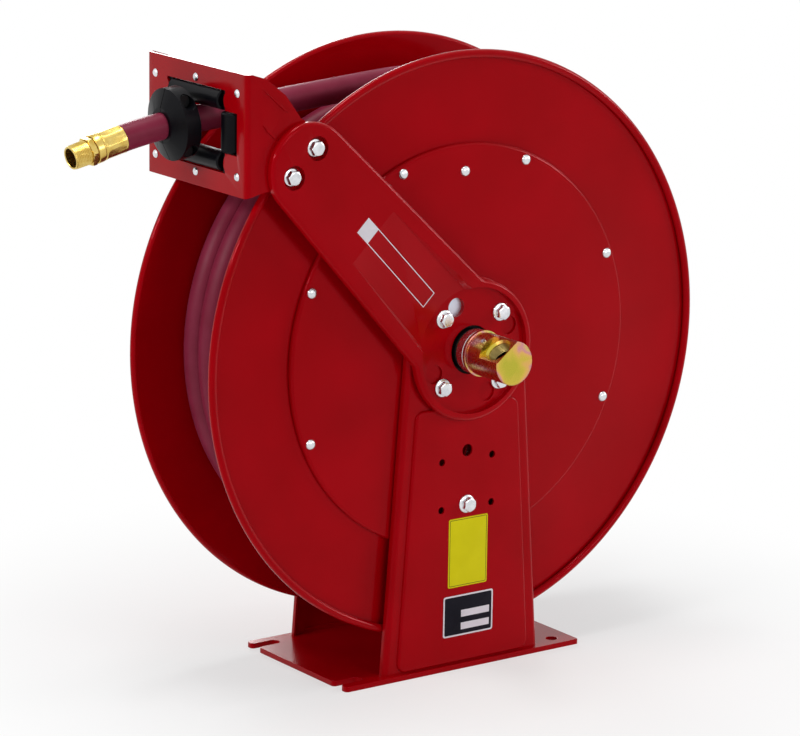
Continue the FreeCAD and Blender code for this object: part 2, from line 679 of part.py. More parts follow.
def make_rivets():
    """Round-headed rivets through the bracket and the roller frame."""
    rivets = []
    face = -number(dim("guide_face"))
    for y, z in RIVETS:
        dome = document.addObject("Part::Cone", "rivet_head")
        dome.Radius1 = 5.0
        dome.Radius2 = 3.0
        dome.Height = 2.0
        place(dome, face, y, GUIDE_Z + z, turn(Y_AXIS, -90.0))
        stem = cylinder("rivet_stem", 2.45, 7.0, face, y, GUIDE_Z + z, turn(Y_AXIS, 90.0))
        tail = cylinder("rivet_tail", 4.0, 1.5, face + 5.5, y, GUIDE_Z + z, turn(Y_AXIS, 90.0))
        rivets.append(fuse("rivet", [dome, stem, tail]))
    group("bracket_rivets", rivets)


make_roller_frame()
make_rollers()
make_rivets()


# ---------------------------------------------------------------- bolts, bearings and ratchet

def path_profile(sketch, path):
    """A closed outline: (x, y) is a line to that point, (x, y, via_x, via_y) an arc to it."""
    first = sketch.GeometryCount
    count = len(path)
    corners = [Vector(number(item[0]), number(item[1]), 0) for item in path]
    for index in range(count):
        target = path[(index + 1) % count]
        start, end = corners[index], corners[(index + 1) % count]
        if len(target) == 4:
            via = Vector(number(target[2]), number(target[3]), 0)
            if (via - start).cross(end - via).z < 0.0:
                start, end = end, start
            sketch.addGeometry(Part.Arc(start, via, end), False)
        else:
            sketch.addGeometry(Part.LineSegment(start, end), False)
    for index in range(count):
        here, there = first + index, first + (index + 1) % count
        ends = []
        for number_of, corner, at_end in ((here, corners[(index + 1) % count], True),
                                          (there, corners[(index + 1) % count], False)):
            curve = sketch.Geometry[number_of]
            ends.append(2 if (curve.EndPoint - corner).Length < (curve.StartPoint - corner).Length else 1)
        sketch.addConstraint(Sketcher.Constraint("Coincident", here, ends[0], there, ends[1]))
    for index, item in enumerate(path):
        curve = sketch.Geometry[first + index]
        start = 1 if (curve.StartPoint - corners[index]).Length < (curve.EndPoint - corners[index]).Length else 2
        fix_point(sketch, first + index, start, item[0], item[1])
        if len(path[(index + 1) % count]) == 4:
            sketch.addConstraint(Sketcher.Constraint("Radius", first + index, curve.Radius))
    return sketch


def turned(node, path, height=HUB, keep_it=True):
    """A piece revolved about the hub axis: x is the radius and y the place along the axis."""
    if keep_it:
        body = new_body(node)
    else:
        body = document.addObject("PartDesign::Body", "Body_" + node)
    profile = sketch_on(body, node + "_profile", "XY_Plane")
    path_profile(profile, path)
    revolve(body, profile)
    place(body, z=height)
    return body


def ring_of_holes(body, name, side, rings, depth):
    """Round holes along Y: side is the plane they start from, on the inlet side when positive."""
    sketch = sketch_on(body, name, "XZ_Plane", side)
    circles(sketch, rings)
    return pocket(body, sketch, depth)


def on_circle(radius, count, start, hole):
    rings = []
    for step in range(count):
        x, y = polar_point(radius, start + 360.0 * step / count)
        rings.append((x, y, hole))
    return rings


HUB_BOLT_TURN = number(dim("arm_turn"))
BUSH_RADIUS = 20.5
SCREW_TURNS = [22.5 + 45.0 * step for step in range(8)]
HUB_SCREWS = 6
HUB_SCREW_CIRCLE = 40.0
SCREW_RADIUS = 3.0


def make_bearing():
    """The plate and boss bolted inside the inlet pedestal, with a plain bush for the axle."""
    face = dim("ped_face") - dim("sheet")
    back = -face
    seat = back - dim("boss_rise")
    body = turned("inlet_bearing_housing", [
        (BUSH_RADIUS, back), (BUSH_RADIUS, -101.0), (22.5, -101.0), (23.5, -100.0), (23.5, seat), (63.0, seat), (63.0, back),
    ])
    ring_of_holes(body, "housing_threads", 105.0, on_circle(dim("bolt_circle"), 4, HUB_BOLT_TURN, 4.75), 30.0)
    bore = dim("axle_radius") + dim("fit")
    turned("inlet_bearing_bush", [
        (bore, back), (bore, -102.5), (23.0, -102.5), (23.0, -101.0), (BUSH_RADIUS, -101.0), (BUSH_RADIUS, back),
    ])


def make_arbor():
    """The spring side's fixed arbor: bolted flange outside, shaft inwards, winding hexagon outwards."""
    shaft = dim("axle_radius")
    seat = dim("ped_face") - dim("sheet")
    outer = seat + dim("boss_rise")
    body = turned("spring_arbor", [(0.0, 16.0), (16.5, 16.0), (shaft, 17.0), (shaft, seat), (63.0, seat),
                                   (63.0, outer), (0.0, outer)])
    stub = sketch_on(body, "arbor_hexagon", "XZ_Plane", -outer)
    polygon(stub, [polar_point(27.0 / math.sqrt(3.0), 60.0 * step) for step in range(6)])
    pad(body, stub, 22.5, back=True)
    threads = sketch_on(body, "arbor_threads", "XZ_Plane", -outer)
    circles(threads, on_circle(dim("bolt_circle"), 4, HUB_BOLT_TURN, 4.75))
    pocket(body, threads, 8.0, back=True)


def make_hub_bolts():
    """Four flange bolts each side, through arm and pedestal into the plate inside."""
    seat = number(dim("arm_face") - dim("arm_recess"))
    length = seat - number(dim("ped_face") - dim("sheet"))
    for node, side, rotation in (("inlet_hub_bolts", -1.0, TOWARDS_INLET), ("spring_hub_bolts", 1.0, TOWARDS_SPRING)):
        bolts = []
        for step in range(4):
            x, z = polar_point(number(dim("bolt_circle")), HUB_BOLT_TURN + 90.0 * step)
            bolt = flange_bolt("hub_bolt", dim("bolt_radius"), length)
            place(bolt, x, side * seat, HUB + z, rotation)
            bolts.append(bolt)
        group(node, bolts)


def make_arm_bolts():
    """Two flange bolts and nuts each side, holding the bracket to the arm tips."""
    seat = number(dim("arm_face") - dim("arm_recess"))
    inside = number(dim("guide_half_wide") - dim("sheet"))
    sides = (("inlet", -1.0, TOWARDS_INLET, TOWARDS_SPRING), ("spring", 1.0, TOWARDS_SPRING, TOWARDS_INLET))
    for side_name, side, outwards, inwards in sides:
        bolts = []
        nuts = []
        for x, z in ARM_BOLTS:
            bolt = flange_bolt("arm_bolt", dim("bolt_radius"), 15.0)
            place(bolt, x.value, side * seat, HUB + z.value, outwards)
            bolts.append(bolt)
            nut = hexagon_nut("arm_nut", dim("bolt_radius") + dim("fit"))
            place(nut, x.value, side * inside, HUB + z.value, inwards)
            nuts.append(nut)
        group(side_name + "_arm_bolts", bolts)
        group(side_name + "_arm_nuts", nuts)


def make_sprocket():
    """The plated ratchet plate: four raised teeth with long notches between them."""
    body = new_body("ratchet_sprocket")
    outer, tip, root = 84.0, dim("sprocket_tip"), dim("sprocket_root")
    plate = sketch_on(body, "sprocket_plate", "XZ_Plane", outer)
    circles(plate, [(0.0, 0.0, tip)])
    pad(body, plate, 3.0)
    boss = sketch_on(body, "sprocket_boss", "XZ_Plane", dim("cover_face"))
    circles(boss, [(0.0, 0.0, 50.0)])
    pad(body, boss, 3.0)
    notch = sketch_on(body, "sprocket_notch", "XZ_Plane", outer + 3.0)
    edge = [polar_point(root, -30.0 + 10.0 * step) for step in range(7)]
    edge += [polar_point(tip + 16.0, 27.0), polar_point(tip + 16.0, -27.0)]
    polygon(notch, edge)
    cutter = pocket(body, notch, 3.0)
    polar(body, cutter, 4, "Y_Axis")
    heads = on_circle(HUB_SCREW_CIRCLE, HUB_SCREWS, 0.0, 5.6)
    ring_of_holes(body, "sprocket_counterbores", outer + 3.0, heads, 3.2)
    holes = on_circle(HUB_SCREW_CIRCLE, HUB_SCREWS, 0.0, SCREW_RADIUS + 0.1)
    holes.append((0.0, 0.0, dim("axle_radius") + dim("fit")))
    ring_of_holes(body, "sprocket_holes", outer + 3.0, holes, 8.0)
    place(body, z=HUB)
    screws = []
    for x, z, _ in on_circle(HUB_SCREW_CIRCLE, HUB_SCREWS, 0.0, 1.0):
        head = cylinder("sprocket_screw_head", 5.4, 3.0)
        stem = cylinder("sprocket_screw_stem", SCREW_RADIUS, 13.0, z=-13.0)
        screw = fuse("sprocket_screw", [head, stem])
        place(screw, x, -83.8, HUB + z, TOWARDS_INLET)
        screws.append(screw)
    group("sprocket_screws", screws)


def make_pawl():
    """The pawl on its bolt, spacer and clip, parked clear of the ratchet's teeth inside the inlet pedestal."""
    parked = turn(Y_AXIS, number(dim("pawl_lean")))
    drop = number(dim("pawl_drop"))
    body = new_body("pawl")
    plate = sketch_on(body, "pawl_plate", "XZ_Plane", 84.0)
    polygon(plate, [(-13.0, 4.0), (-9.0, -9.0), (0.0, -13.0), (9.0, -9.0), (13.0, 4.0), (8.0, 98.0), (8.0, 108.0),
                    (4.5, 113.0), (-4.5, 113.0), (-8.0, 108.0), (-8.0, 98.0)])
    pad(body, plate, 3.0)
    rounded(body, 2.0, lambda p, e: is_straight(e) and abs(e.tangentAt(0).y) > 0.9)
    ring_of_holes(body, "pawl_bore", 87.0, [(0.0, 0.0, 5.0 + dim("fit"))], 3.0)
    ring_of_holes(body, "pawl_spring_hole", 87.0, [(0.0, 22.0, 1.5)], 3.0)
    place(body, z=HUB - drop, rotation=parked)
    seat = -number(dim("ped_face") + dim("panel_rise"))
    bolt = flange_bolt("pawl_pivot_bolt", 5.0, 13.0)
    place(bolt, 0.0, seat, HUB - drop, TOWARDS_INLET)
    keep(bolt, "pawl_pivot_bolt")
    turned("pawl_spacer", [(5.05, -92.4), (8.0, -92.4), (8.0, -87.35), (5.05, -87.35)], HUB - drop)
    turned("pawl_clip", [(5.0, -83.65), (8.0, -83.65), (8.0, -82.65), (5.0, -82.65)], HUB - drop)
    coil = turned("pawl_spring", [(8.3, -92.2), (9.7, -92.2), (9.7, -88.0), (8.3, -88.0)], HUB - drop)
    legs = sketch_on(coil, "pawl_spring_legs", "XZ_Plane", 88.0)
    polygon(legs, [(-9.5, 2.0), (-8.3, 1.0), (-3.4, 26.0), (-4.8, 26.0)])
    polygon(legs, [(9.5, 2.0), (4.8, 26.0), (3.4, 26.0), (8.3, 1.0)])
    pad(coil, legs, 1.4)
    place(coil, z=HUB - drop, rotation=parked)


make_bearing()
make_arbor()
make_hub_bolts()
make_arm_bolts()
make_sprocket()
make_pawl()


# ---------------------------------------------------------------- spool

RISER_Y = -50.0
RISER_TURN = turn(Y_AXIS, 120.0)


def make_disc(node, bore, screw_circle, rotation):
    """A pressed side disc with a stepped middle and an edge rolled outwards."""
    inner, middle, sheet = -dim("disc_inner"), -dim("disc_step"), dim("disc_sheet")
    rim, bead, step = dim("rim_radius"), dim("bead"), dim("step_radius")
    axis = inner - bead
    diagonal = math.sqrt(0.5)
    curl = bead - sheet
    body = turned(node, [
        (bore, middle), (step, middle), (step, inner), (rim, inner),
        (rim - bead, axis, rim + bead * diagonal, axis - bead * diagonal),
        (rim - curl, axis),
        (rim, axis + curl, rim + curl * diagonal, axis - curl * diagonal),
        (step + sheet, axis + curl), (step + sheet, middle - sheet), (bore, middle - sheet),
    ])
    ring_of_holes(body, node + "_screw_holes", 100.0, cover_screw_holes(2.5) + screw_circle, 40.0)
    place(body, z=HUB, rotation=rotation)


def cover_screw_holes(radius):
    rings = []
    for degrees in SCREW_TURNS:
        x, y = polar_point(dim("screw_circle"), degrees)
        rings.append((x, y, radius))
    rings.append((0.0, 194.0, radius))
    return rings


def make_cover(node, bore, screw_circle, rotation):
    """A flat cover plate with a rounded, turned-in edge over the disc's step."""
    face, sheet, outer = -dim("cover_face"), dim("disc_sheet"), dim("cover_radius")
    bend = 4.0
    diagonal = math.sqrt(0.5)
    inner_bend = bend - sheet
    lip = -75.5
    body = turned(node, [
        (bore, face + sheet), (outer - bend, face + sheet),
        (outer - sheet, face + bend, outer - bend + inner_bend * diagonal, face + bend - inner_bend * diagonal),
        (outer - sheet, lip), (outer, lip), (outer, face + bend),
        (outer - bend, face, outer - bend + bend * diagonal, face + bend - bend * diagonal),
        (bore, face),
    ])
    ring_of_holes(body, node + "_screw_holes", 100.0, cover_screw_holes(2.5) + screw_circle, 40.0)
    place(body, z=HUB, rotation=rotation)


def make_cover_screws(node, side, rotation):
    screws = []
    for x, z, _ in cover_screw_holes(1.0):
        head = document.addObject("Part::Cone", "cover_screw_head")
        head.Radius1 = 5.8
        head.Radius2 = 4.2
        head.Height = 3.4
        stem = cylinder("cover_screw_stem", 2.4, 8.0, z=-8.0)
        screw = fuse("cover_screw", [head, stem])
        place(screw, number(x), side * number(dim("cover_face")), HUB + number(z), rotation)
        screws.append(screw)
    group(node, screws)


def make_drum():
    """The hose drum: a rolled shell with turned-out flanges, and a hole for the outlet riser."""
    outer, wide = dim("drum_radius"), dim("disc_step")
    flange = dim("step_radius") - 0.2
    body = turned("drum_shell", [
        (outer - 3.0, -wide), (flange, -wide), (flange, -wide + 2.5), (outer, -wide + 2.5), (outer, wide - 2.5),
        (flange, wide - 2.5), (flange, wide), (outer - 3.0, wide),
    ], keep_it=False)
    ring_of_holes(body, "drum_screws", wide + 1.0, cover_screw_holes(2.5)[:-1], wide * 2.0 + 2.0)
    hole = cylinder("drum_riser_hole", 13.1, 60.0, 0.0, RISER_Y, HUB,
                    RISER_TURN.multiply(turn(Y_AXIS, 90.0)))
    shift = RISER_TURN.multVec(Vector(180.0, 0, 0))
    hole.Placement.Base = hole.Placement.Base + shift
    keep(cut("drum_cut", body, hole), "hose_drum")


def make_axle():
    """The hollow axle with its flange, and the riser that feeds the hose through the drum."""
    shaft = dim("axle_radius")
    body = new_body("axle")
    profile = sketch_on(body, "axle_profile", "XY_Plane")
    polygon(profile, [(9.5, -141.0), (shaft - 0.8, -141.0), (shaft, -140.0), (shaft, -77.0), (60.0, -77.0),
                      (60.0, -71.0), (shaft, -71.0), (shaft, -32.0), (0.0, -32.0), (0.0, -38.0), (9.5, -38.0)])
    revolve(body, profile)
    holes = on_circle(HUB_SCREW_CIRCLE, HUB_SCREWS, -120.0 + 60.0, SCREW_RADIUS + 0.05)
    ring_of_holes(body, "axle_threads", 78.0, holes, 10.0)
    seat = sketch_on(body, "axle_riser_seat", "YZ_Plane", 20.0)
    circles(seat, [(RISER_Y, 0.0, 13.0)])
    pocket(body, seat, 8.0)
    port = sketch_on(body, "axle_riser_port", "YZ_Plane", 20.0)
    circles(port, [(RISER_Y, 0.0, 9.0)])
    pocket(body, port, 20.0)
    place(body, z=HUB, rotation=RISER_TURN)

    riser = new_body("outlet_riser")
    tube = sketch_on(riser, "riser_tube", "YZ_Plane", 12.0)
    circles(tube, [(RISER_Y, 0.0, 13.0), (RISER_Y, 0.0, 9.0)])
    pad(riser, tube, 197.9)
    nut = sketch_on(riser, "riser_hexagon", "YZ_Plane", 185.0)
    corners = [polar_point(19.6, 60.0 * step) for step in range(6)]
    polygon(nut, [(RISER_Y + x, y) for x, y in corners])
    circles(nut, [(RISER_Y, 0.0, 9.0)])
    pad(riser, nut, 15.0)
    place(riser, z=HUB, rotation=RISER_TURN)
    turned("axle_collar", [(shaft, -115.0), (23.5, -115.0), (24.5, -114.0), (24.5, -104.0), (23.5, -103.0),
                           (shaft, -103.0)])


def make_spring_motor():
    """The sealed spring: case on the spool, hub and bush round the arbor, and the wound strip."""
    case, wall = dim("case_radius"), 2.5
    rim = dim("disc_step")
    turned("spring_case", [(0.0, 10.0), (case - 6.0, 10.0), (case, 16.0, case - 1.76, 11.76), (case, rim),
                           (case - wall, rim), (case - wall, 16.0),
                           (case - 6.0, 12.5, case - wall - 1.03, 13.53), (0.0, 12.5)])
    sleeve = 28.0
    hub = turned("spring_hub", [(22.0, 70.0), (sleeve, 70.0), (sleeve, 72.0), (45.0, 72.0), (45.0, rim), (sleeve, rim),
                                (sleeve, 83.0), (22.0, 83.0)])
    ring_of_holes(hub, "spring_hub_threads", -71.0, on_circle(36.0, HUB_SCREWS, 0.0, SCREW_RADIUS + 0.05), 10.0)
    bore = dim("axle_radius") + dim("fit")
    turned("spring_hub_bush", [(bore, 70.0), (22.0, 70.0), (22.0, 83.0), (bore, 83.0)])
    screws = []
    for x, z, _ in on_circle(36.0, HUB_SCREWS, 0.0, 1.0):
        head = cylinder("spring_hub_screw_head", 5.0, 3.4)
        stem = cylinder("spring_hub_screw_stem", SCREW_RADIUS, 9.0, z=-9.0)
        screw = fuse("spring_hub_screw", [head, stem])
        place(screw, x, number(dim("cover_face")), HUB + z, TOWARDS_SPRING)
        screws.append(screw)
    group("spring_hub_screws", screws)
    make_main_spring()


def make_main_spring():
    """Outer turns as one wound ring, and two open turns in to the arbor, from half circles about two centres."""
    start, shift, half = 24.0, 20.0, 0.8
    width, near = 50.0, 18.0

    def half_circle(centre, radius, upper):
        via = radius if upper else -radius
        ends = [Vector(centre + radius, near, 0), Vector(centre, near, via), Vector(centre - radius, near, 0)]
        return Part.Arc(*ends).toShape()

    strips = []
    for step in range(4):
        upper = step % 2 == 0
        centre = 0.0 if upper else shift
        radius = start + shift * step
        outer = half_circle(centre, radius + half, upper)
        inner = half_circle(centre, radius - half, upper)
        caps = [Part.makeLine((centre + s * (radius - half), near, 0), (centre + s * (radius + half), near, 0))
                for s in (-1.0, 1.0)]
        face = Part.Face(Part.Wire(Part.__sortEdges__([outer, inner] + caps)))
        strips.append(face.extrude(Vector(0, width, 0)))
    case_inside = number(dim("case_radius")) - 3.0
    wound = Part.makeCylinder(case_inside, width, Vector(0, near, 0), Y_AXIS)
    wound = wound.cut(Part.makeCylinder(case_inside - 34.0, width, Vector(0, near, 0), Y_AXIS))
    hook = Part.makeBox(start - 17.6 + half, width, 2.0 * half, Vector(17.6, near, -half))
    spring = wound.fuse(strips + [hook]).removeSplitter()
    item = document.addObject("Part::Feature", "main_spring_shape")
    item.Shape = spring
    item.Placement = FreeCAD.Placement(Vector(0, 0, HUB), FreeCAD.Rotation())
    keep(item, "main_spring")


LAYER_HALF_TURN = 71.5


def make_hose_pack():
    """The wound hose's outer shape: five turns below, four above, and an empty channel on the inlet side."""
    radius = number(dim("hose_radius"))
    first = number(dim("turn_radius"))
    second = first + 2.0 * radius
    tilt = math.radians(15.0)
    reach, lift = radius * math.cos(tilt), radius * math.sin(tilt)
    path = [(number(dim("drum_radius")) + 0.2, -LAYER_HALF_TURN)]
    turns = [(first, -4.0 * radius)] + [(second, step * 2.0 * radius) for step in range(-1, 3)]
    for index, (layer, centre) in enumerate(turns):
        if index == 0:
            path.append((layer + lift, -LAYER_HALF_TURN))
        elif index == 1:
            path.append((layer + lift, centre - radius))
        path.append((layer + lift, centre - reach))
        path.append((layer + lift, centre + reach, layer + radius, centre))
        if index == 0:
            path.append((layer + lift, centre + radius))
    path.append((second + lift, LAYER_HALF_TURN))
    path.append((number(dim("drum_radius")) + 0.2, LAYER_HALF_TURN))
    turned("hose_pack", path)


axle_holes = on_circle(HUB_SCREW_CIRCLE, HUB_SCREWS, 0.0, SCREW_RADIUS + 0.1)
make_disc("inlet_disc", dim("axle_radius") + dim("fit"), axle_holes, None)
make_cover("inlet_cover", dim("axle_radius") + dim("fit"), axle_holes, None)
spring_holes = on_circle(36.0, HUB_SCREWS, 0.0, SCREW_RADIUS + 0.1)
make_disc("spring_disc", 28.05, spring_holes, FLIP)
make_cover("spring_cover", 28.05, spring_holes, FLIP)
make_cover_screws("inlet_cover_screws", -1.0, TOWARDS_INLET)
make_cover_screws("spring_cover_screws", 1.0, TOWARDS_SPRING)
make_drum()
make_axle()
make_spring_motor()
make_hose_pack()


# ---------------------------------------------------------------- inlet swivel

def make_swivel():
    """The plated swivel: its own X is the way the inlet port faces."""
    body = new_body("swivel_body")
    radius, end = dim("swivel_radius"), -dim("swivel_end")
    bore = dim("axle_radius") + dim("fit")
    profile = sketch_on(body, "swivel_profile", "XY_Plane")
    polygon(profile, [(bore, -116.2), (25.5, -116.2), (25.5, -120.0), (22.8, -120.6), (22.8, -122.4), (radius, -123.2),
                      (radius, end + 1.0), (radius - 1.0, end), (0.0, end), (0.0, -161.0), (9.0, -161.0),
                      (9.0, -142.0), (bore, -142.0)])
    revolve(body, profile)
    grooves = sketch_on(body, "swivel_seal_grooves", "XY_Plane")
    for near in (-125.5, -133.5):
        polygon(grooves, [(bore - 1.0, near), (20.6, near), (20.6, near - 3.1), (bore - 1.0, near - 3.1)])
    revolve(body, grooves, cut=True)
    flat = sketch_on(body, "swivel_flat", "XY_Plane")
    polygon(flat, [(17.0, -144.0), (40.0, -144.0), (40.0, end - 2.0), (17.0, end - 2.0)])
    pocket(body, flat, 60.0, middle=True)
    port = sketch_on(body, "swivel_port", "YZ_Plane", 17.0)
    circles(port, [(-160.0, 0.0, dim("port_radius"))])
    pocket(body, port, 14.0)
    rounded(body, 2.4, lambda p, e: abs(p.x - 17.0) < 0.01 and e.Curve.TypeId == "Part::GeomCircle", "Chamfer")
    screw = sketch_on(body, "swivel_screw_hole", "YZ_Plane", 26.0)
    circles(screw, [(-140.2, 0.0, 2.5)])
    pocket(body, screw, 5.0)
    port_turn = turn(Y_AXIS, -number(dim("port_turn")))
    place(body, z=HUB, rotation=port_turn)

    seals = []
    for near in (-125.6, -133.6):
        ring = document.addObject("Part::Torus", "seal")
        ring.Radius1 = 19.05
        ring.Radius2 = 1.45
        place(ring, 0.0, near - 1.45, HUB, turn(X_AXIS, 90.0))
        seals.append(ring)
    group("swivel_seals", seals)
    head = cylinder("swivel_screw_head", 2.9, 2.0, 0.0, 0.0, 24.0)
    stem = cylinder("swivel_screw_stem", 2.45, 3.0, 0.0, 0.0, 21.0)
    plug = fuse("swivel_screw", [head, stem])
    axis = port_turn.multiply(turn(Y_AXIS, 90.0))
    place(plug, 0.0, -140.2, HUB, axis)
    keep(plug, "swivel_screw")


# ---------------------------------------------------------------- outgoing hose, stop and fitting

def on_hub(radius, degrees, y):
    """A point on a circle round the hub, in the part's frame."""
    return Vector(radius * math.cos(math.radians(degrees)), y, HUB + radius * math.sin(math.radians(degrees)))


CORNER = 1.0 / math.cos(math.radians(15.0))
LEAD_POINTS = [
    Vector(115.9, -57.8, HUB - 228.7),
    on_hub(256.0 * CORNER, -41.0, -57.8),
    on_hub(268.0 * CORNER, -11.0, -57.6),
    on_hub(281.5 * CORNER, 19.0, -47.0),
    on_hub(283.4 * CORNER, 49.0, -16.0),
    on_hub(283.4 * CORNER, 79.0, 17.0),
    Vector(-150.0, 8.5, HUB + 275.3),
    Vector(-283.5, 0.0, HUB + 265.3),
    Vector(-352.0, 0.0, HUB + 259.6),
    Vector(-402.0, 0.0, HUB + 247.4),
]


def smooth_route(points):
    """Straight runs joined by tangent arcs, each using 0.45 of the shorter run beside it."""
    edges = []
    radii = []
    start = points[0]
    for index in range(1, len(points) - 1):
        before, here, after = points[index - 1], points[index], points[index + 1]
        way_in = (here - before).normalize()
        way_out = (after - here).normalize()
        trim = 0.45 * min((here - before).Length, (after - here).Length)
        half_turn = 0.5 * way_in.getAngle(way_out)
        radii.append(trim / math.tan(half_turn))
        first = here - way_in * trim
        last = here + way_out * trim
        towards = (way_out - way_in).normalize()
        middle = here + towards * (radii[-1] / math.cos(half_turn) - radii[-1])
        edges.append(Part.LineSegment(start, first).toShape())
        edges.append(Part.Arc(first, middle, last).toShape())
        start = last
    edges.append(Part.LineSegment(start, points[-1]).toShape())
    return Part.Wire(edges), radii


def make_hose_lead():
    route, radii = smooth_route(LEAD_POINTS)
    radius = number(dim("hose_radius"))
    way = LEAD_POINTS[1] - LEAD_POINTS[0]
    ring = Part.Wire(Part.Circle(LEAD_POINTS[0], way, radius).toShape())
    tube = route.makePipeShell([ring], True, False)
    item = document.addObject("Part::Feature", "hose_lead_shape")
    item.Shape = tube
    keep(item, "hose_lead")
    print("lead length %.1f, radii %s" % (route.Length, [round(value) for value in radii]))
    print("lead volume %.0f of %.0f" % (tube.Volume, route.Length * math.pi * radius * radius))


def frame_along(start, end):
    """A rotation whose Y runs from start to end and whose X is the part's +Y."""
    way = (end - start).normalize()
    return FreeCAD.Rotation(Y_AXIS, way, Y_AXIS.cross(way), "YXZ")


def make_stop():
    """The two-piece hose stop, clamped round the hose by two screws across it."""
    start, end = LEAD_POINTS[-3], LEAD_POINTS[-2]
    aligned = frame_along(start, end)
    radius = dim("stop_radius")
    near, shoulder, far = 25.6, 43.4, 51.0
    screw_at, screw_side = 34.2, 26.0
    stop_nose = 19.0
    bore = dim("hose_radius") + 0.1
    for node, flip, tapped in (("inlet_stop_half", 180.0, False), ("spring_stop_half", 0.0, True)):
        body = new_body(node)
        profile = sketch_on(body, node + "_profile", "XY_Plane")
        polygon(profile, [(bore, near), (radius - 1.0, near), (radius, near + 1.0), (radius, shoulder),
                          (stop_nose, far), (bore, far)])
        revolve(body, profile)
        split = sketch_on(body, node + "_split", "YZ_Plane", 0.4)
        polygon(split, [(near - 2.0, -60.0), (far + 2.0, -60.0), (far + 2.0, 60.0), (near - 2.0, 60.0)])
        pocket(body, split, 60.0)
        side = sketch_on(body, node + "_screws", "YZ_Plane", 50.0)
        hole = 4.05 if tapped else 4.4
        circles(side, [(screw_at, screw_side, hole), (screw_at, -screw_side, hole)])
        pocket(body, side, 60.0)
        if not tapped:
            counterbore = sketch_on(body, node + "_counterbores", "YZ_Plane", 50.0)
            circles(counterbore, [(screw_at, screw_side, 7.4), (screw_at, -screw_side, 7.4)])
            pocket(body, counterbore, 36.0)
        place(body, start.x, start.y, start.z, aligned.multiply(turn(Y_AXIS, flip)))
    screws = []
    for side in (screw_side, -screw_side):
        head = cylinder("stop_screw_head", 6.5, 7.0)
        stem = cylinder("stop_screw_stem", 4.0, 32.0, z=-32.0)
        screw = fuse("stop_screw", [head, stem])
        offset = aligned.multVec(Vector(-14.0, screw_at, side))
        place(screw, start.x + offset.x, start.y + offset.y, start.z + offset.z, TOWARDS_INLET)
        screws.append(screw)
    group("stop_screws", screws)


def make_fitting():
    """The crimped ferrule and the brass male fitting at the hose's free end."""
    start, end = LEAD_POINTS[-2], LEAD_POINTS[-1]
    aligned = frame_along(start, end)
    hose = dim("hose_radius")
    ferrule = new_body("hose_ferrule")
    profile = sketch_on(ferrule, "ferrule_profile", "XY_Plane")
    rear, waist, collar, front = -19.0, 6.8, 15.6, 16.6
    shell = 15.0
    polygon(profile, [(hose, rear), (shell - 0.3, rear), (shell, rear + 0.5), (shell, waist), (shell - 0.6, waist + 0.4),
                      (shell - 0.6, waist + 1.2), (collar, waist + 1.8), (collar, front - 0.8), (collar - 0.8, front),
                      (11.5, front), (11.5, 0.1), (hose, 0.1)])
    revolve(ferrule, profile)
    place(ferrule, end.x, end.y, end.z, aligned)
    fitting = new_body("hose_fitting")
    profile = sketch_on(fitting, "fitting_profile", "XY_Plane")
    bore, neck, thread = 10.3, 12.5, 13.3
    polygon(profile, [(bore, 0.1), (11.4, 0.1), (11.4, front + 0.1), (neck, front + 0.1), (neck, 23.6), (thread, 24.4),
                      (thread, 41.6), (thread - 0.9, 43.2), (bore, 43.2)])
    revolve(fitting, profile)
    wrench = sketch_on(fitting, "fitting_hexagon", "XZ_Plane", -17.5)
    polygon(wrench, [polar_point(28.0 / math.sqrt(3.0), 30.0 + 60.0 * step) for step in range(6)])
    circles(wrench, [(0.0, 0.0, bore)])
    pad(fitting, wrench, 6.5, back=True)
    place(fitting, end.x, end.y, end.z, aligned)


make_swivel()
make_hose_lead()
make_stop()
make_fitting()

# ---------------------------------------------------------------- check and export

document.recompute()
os.makedirs("parts", exist_ok=True)
for item in document.Objects:
    if "Invalid" in item.State or "Error" in item.State:
        raise RuntimeError("%s did not compute: %s" % (item.Label, item.State))
for item in SUB_PARTS:
    if item.Shape.isNull() or not item.Shape.isValid():
        raise RuntimeError("%s has no valid shape" % item.Label)
    item.Shape.exportStep("parts/%s.step" % item.Label)
    print("%-24s solids %2d volume %12.1f" % (item.Label, len(item.Shape.Solids), item.Shape.Volume))
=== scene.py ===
"""Looks for a spring-rewind hose reel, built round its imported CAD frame.

The script loads the frame, gives every node its finish and sets up the camera, the lights and the pale
floor. It draws again what CAD leaves plain: rolled sheet edges, discs and covers, bolt heads, rivets, the
crimped and threaded brass end, and both lengths of hose. It adds the port's thread and the blank stickers.
Lengths are in metres; +Z is up, the reel turns about an axis along Y and the hose leaves towards -X.
"""

import json
import logging
import math
from dataclasses import dataclass, field
from enum import Enum
from typing import Iterable, Sequence

import bmesh
import bpy
import numpy as np
from mathutils import Matrix, Vector


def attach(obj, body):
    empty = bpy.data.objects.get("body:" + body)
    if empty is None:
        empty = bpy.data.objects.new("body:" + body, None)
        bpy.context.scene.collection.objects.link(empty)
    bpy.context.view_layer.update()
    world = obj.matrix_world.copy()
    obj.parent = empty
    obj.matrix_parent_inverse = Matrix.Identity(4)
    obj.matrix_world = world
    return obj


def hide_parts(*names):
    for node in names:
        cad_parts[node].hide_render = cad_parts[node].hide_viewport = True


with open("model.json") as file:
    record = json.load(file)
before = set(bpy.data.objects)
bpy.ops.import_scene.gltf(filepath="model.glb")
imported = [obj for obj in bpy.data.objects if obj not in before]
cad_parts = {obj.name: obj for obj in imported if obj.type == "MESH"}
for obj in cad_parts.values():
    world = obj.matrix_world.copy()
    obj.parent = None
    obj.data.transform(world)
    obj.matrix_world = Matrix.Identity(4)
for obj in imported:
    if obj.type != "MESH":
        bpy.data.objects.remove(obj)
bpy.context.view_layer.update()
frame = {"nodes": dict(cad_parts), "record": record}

log = logging.getLogger("hose_reel")
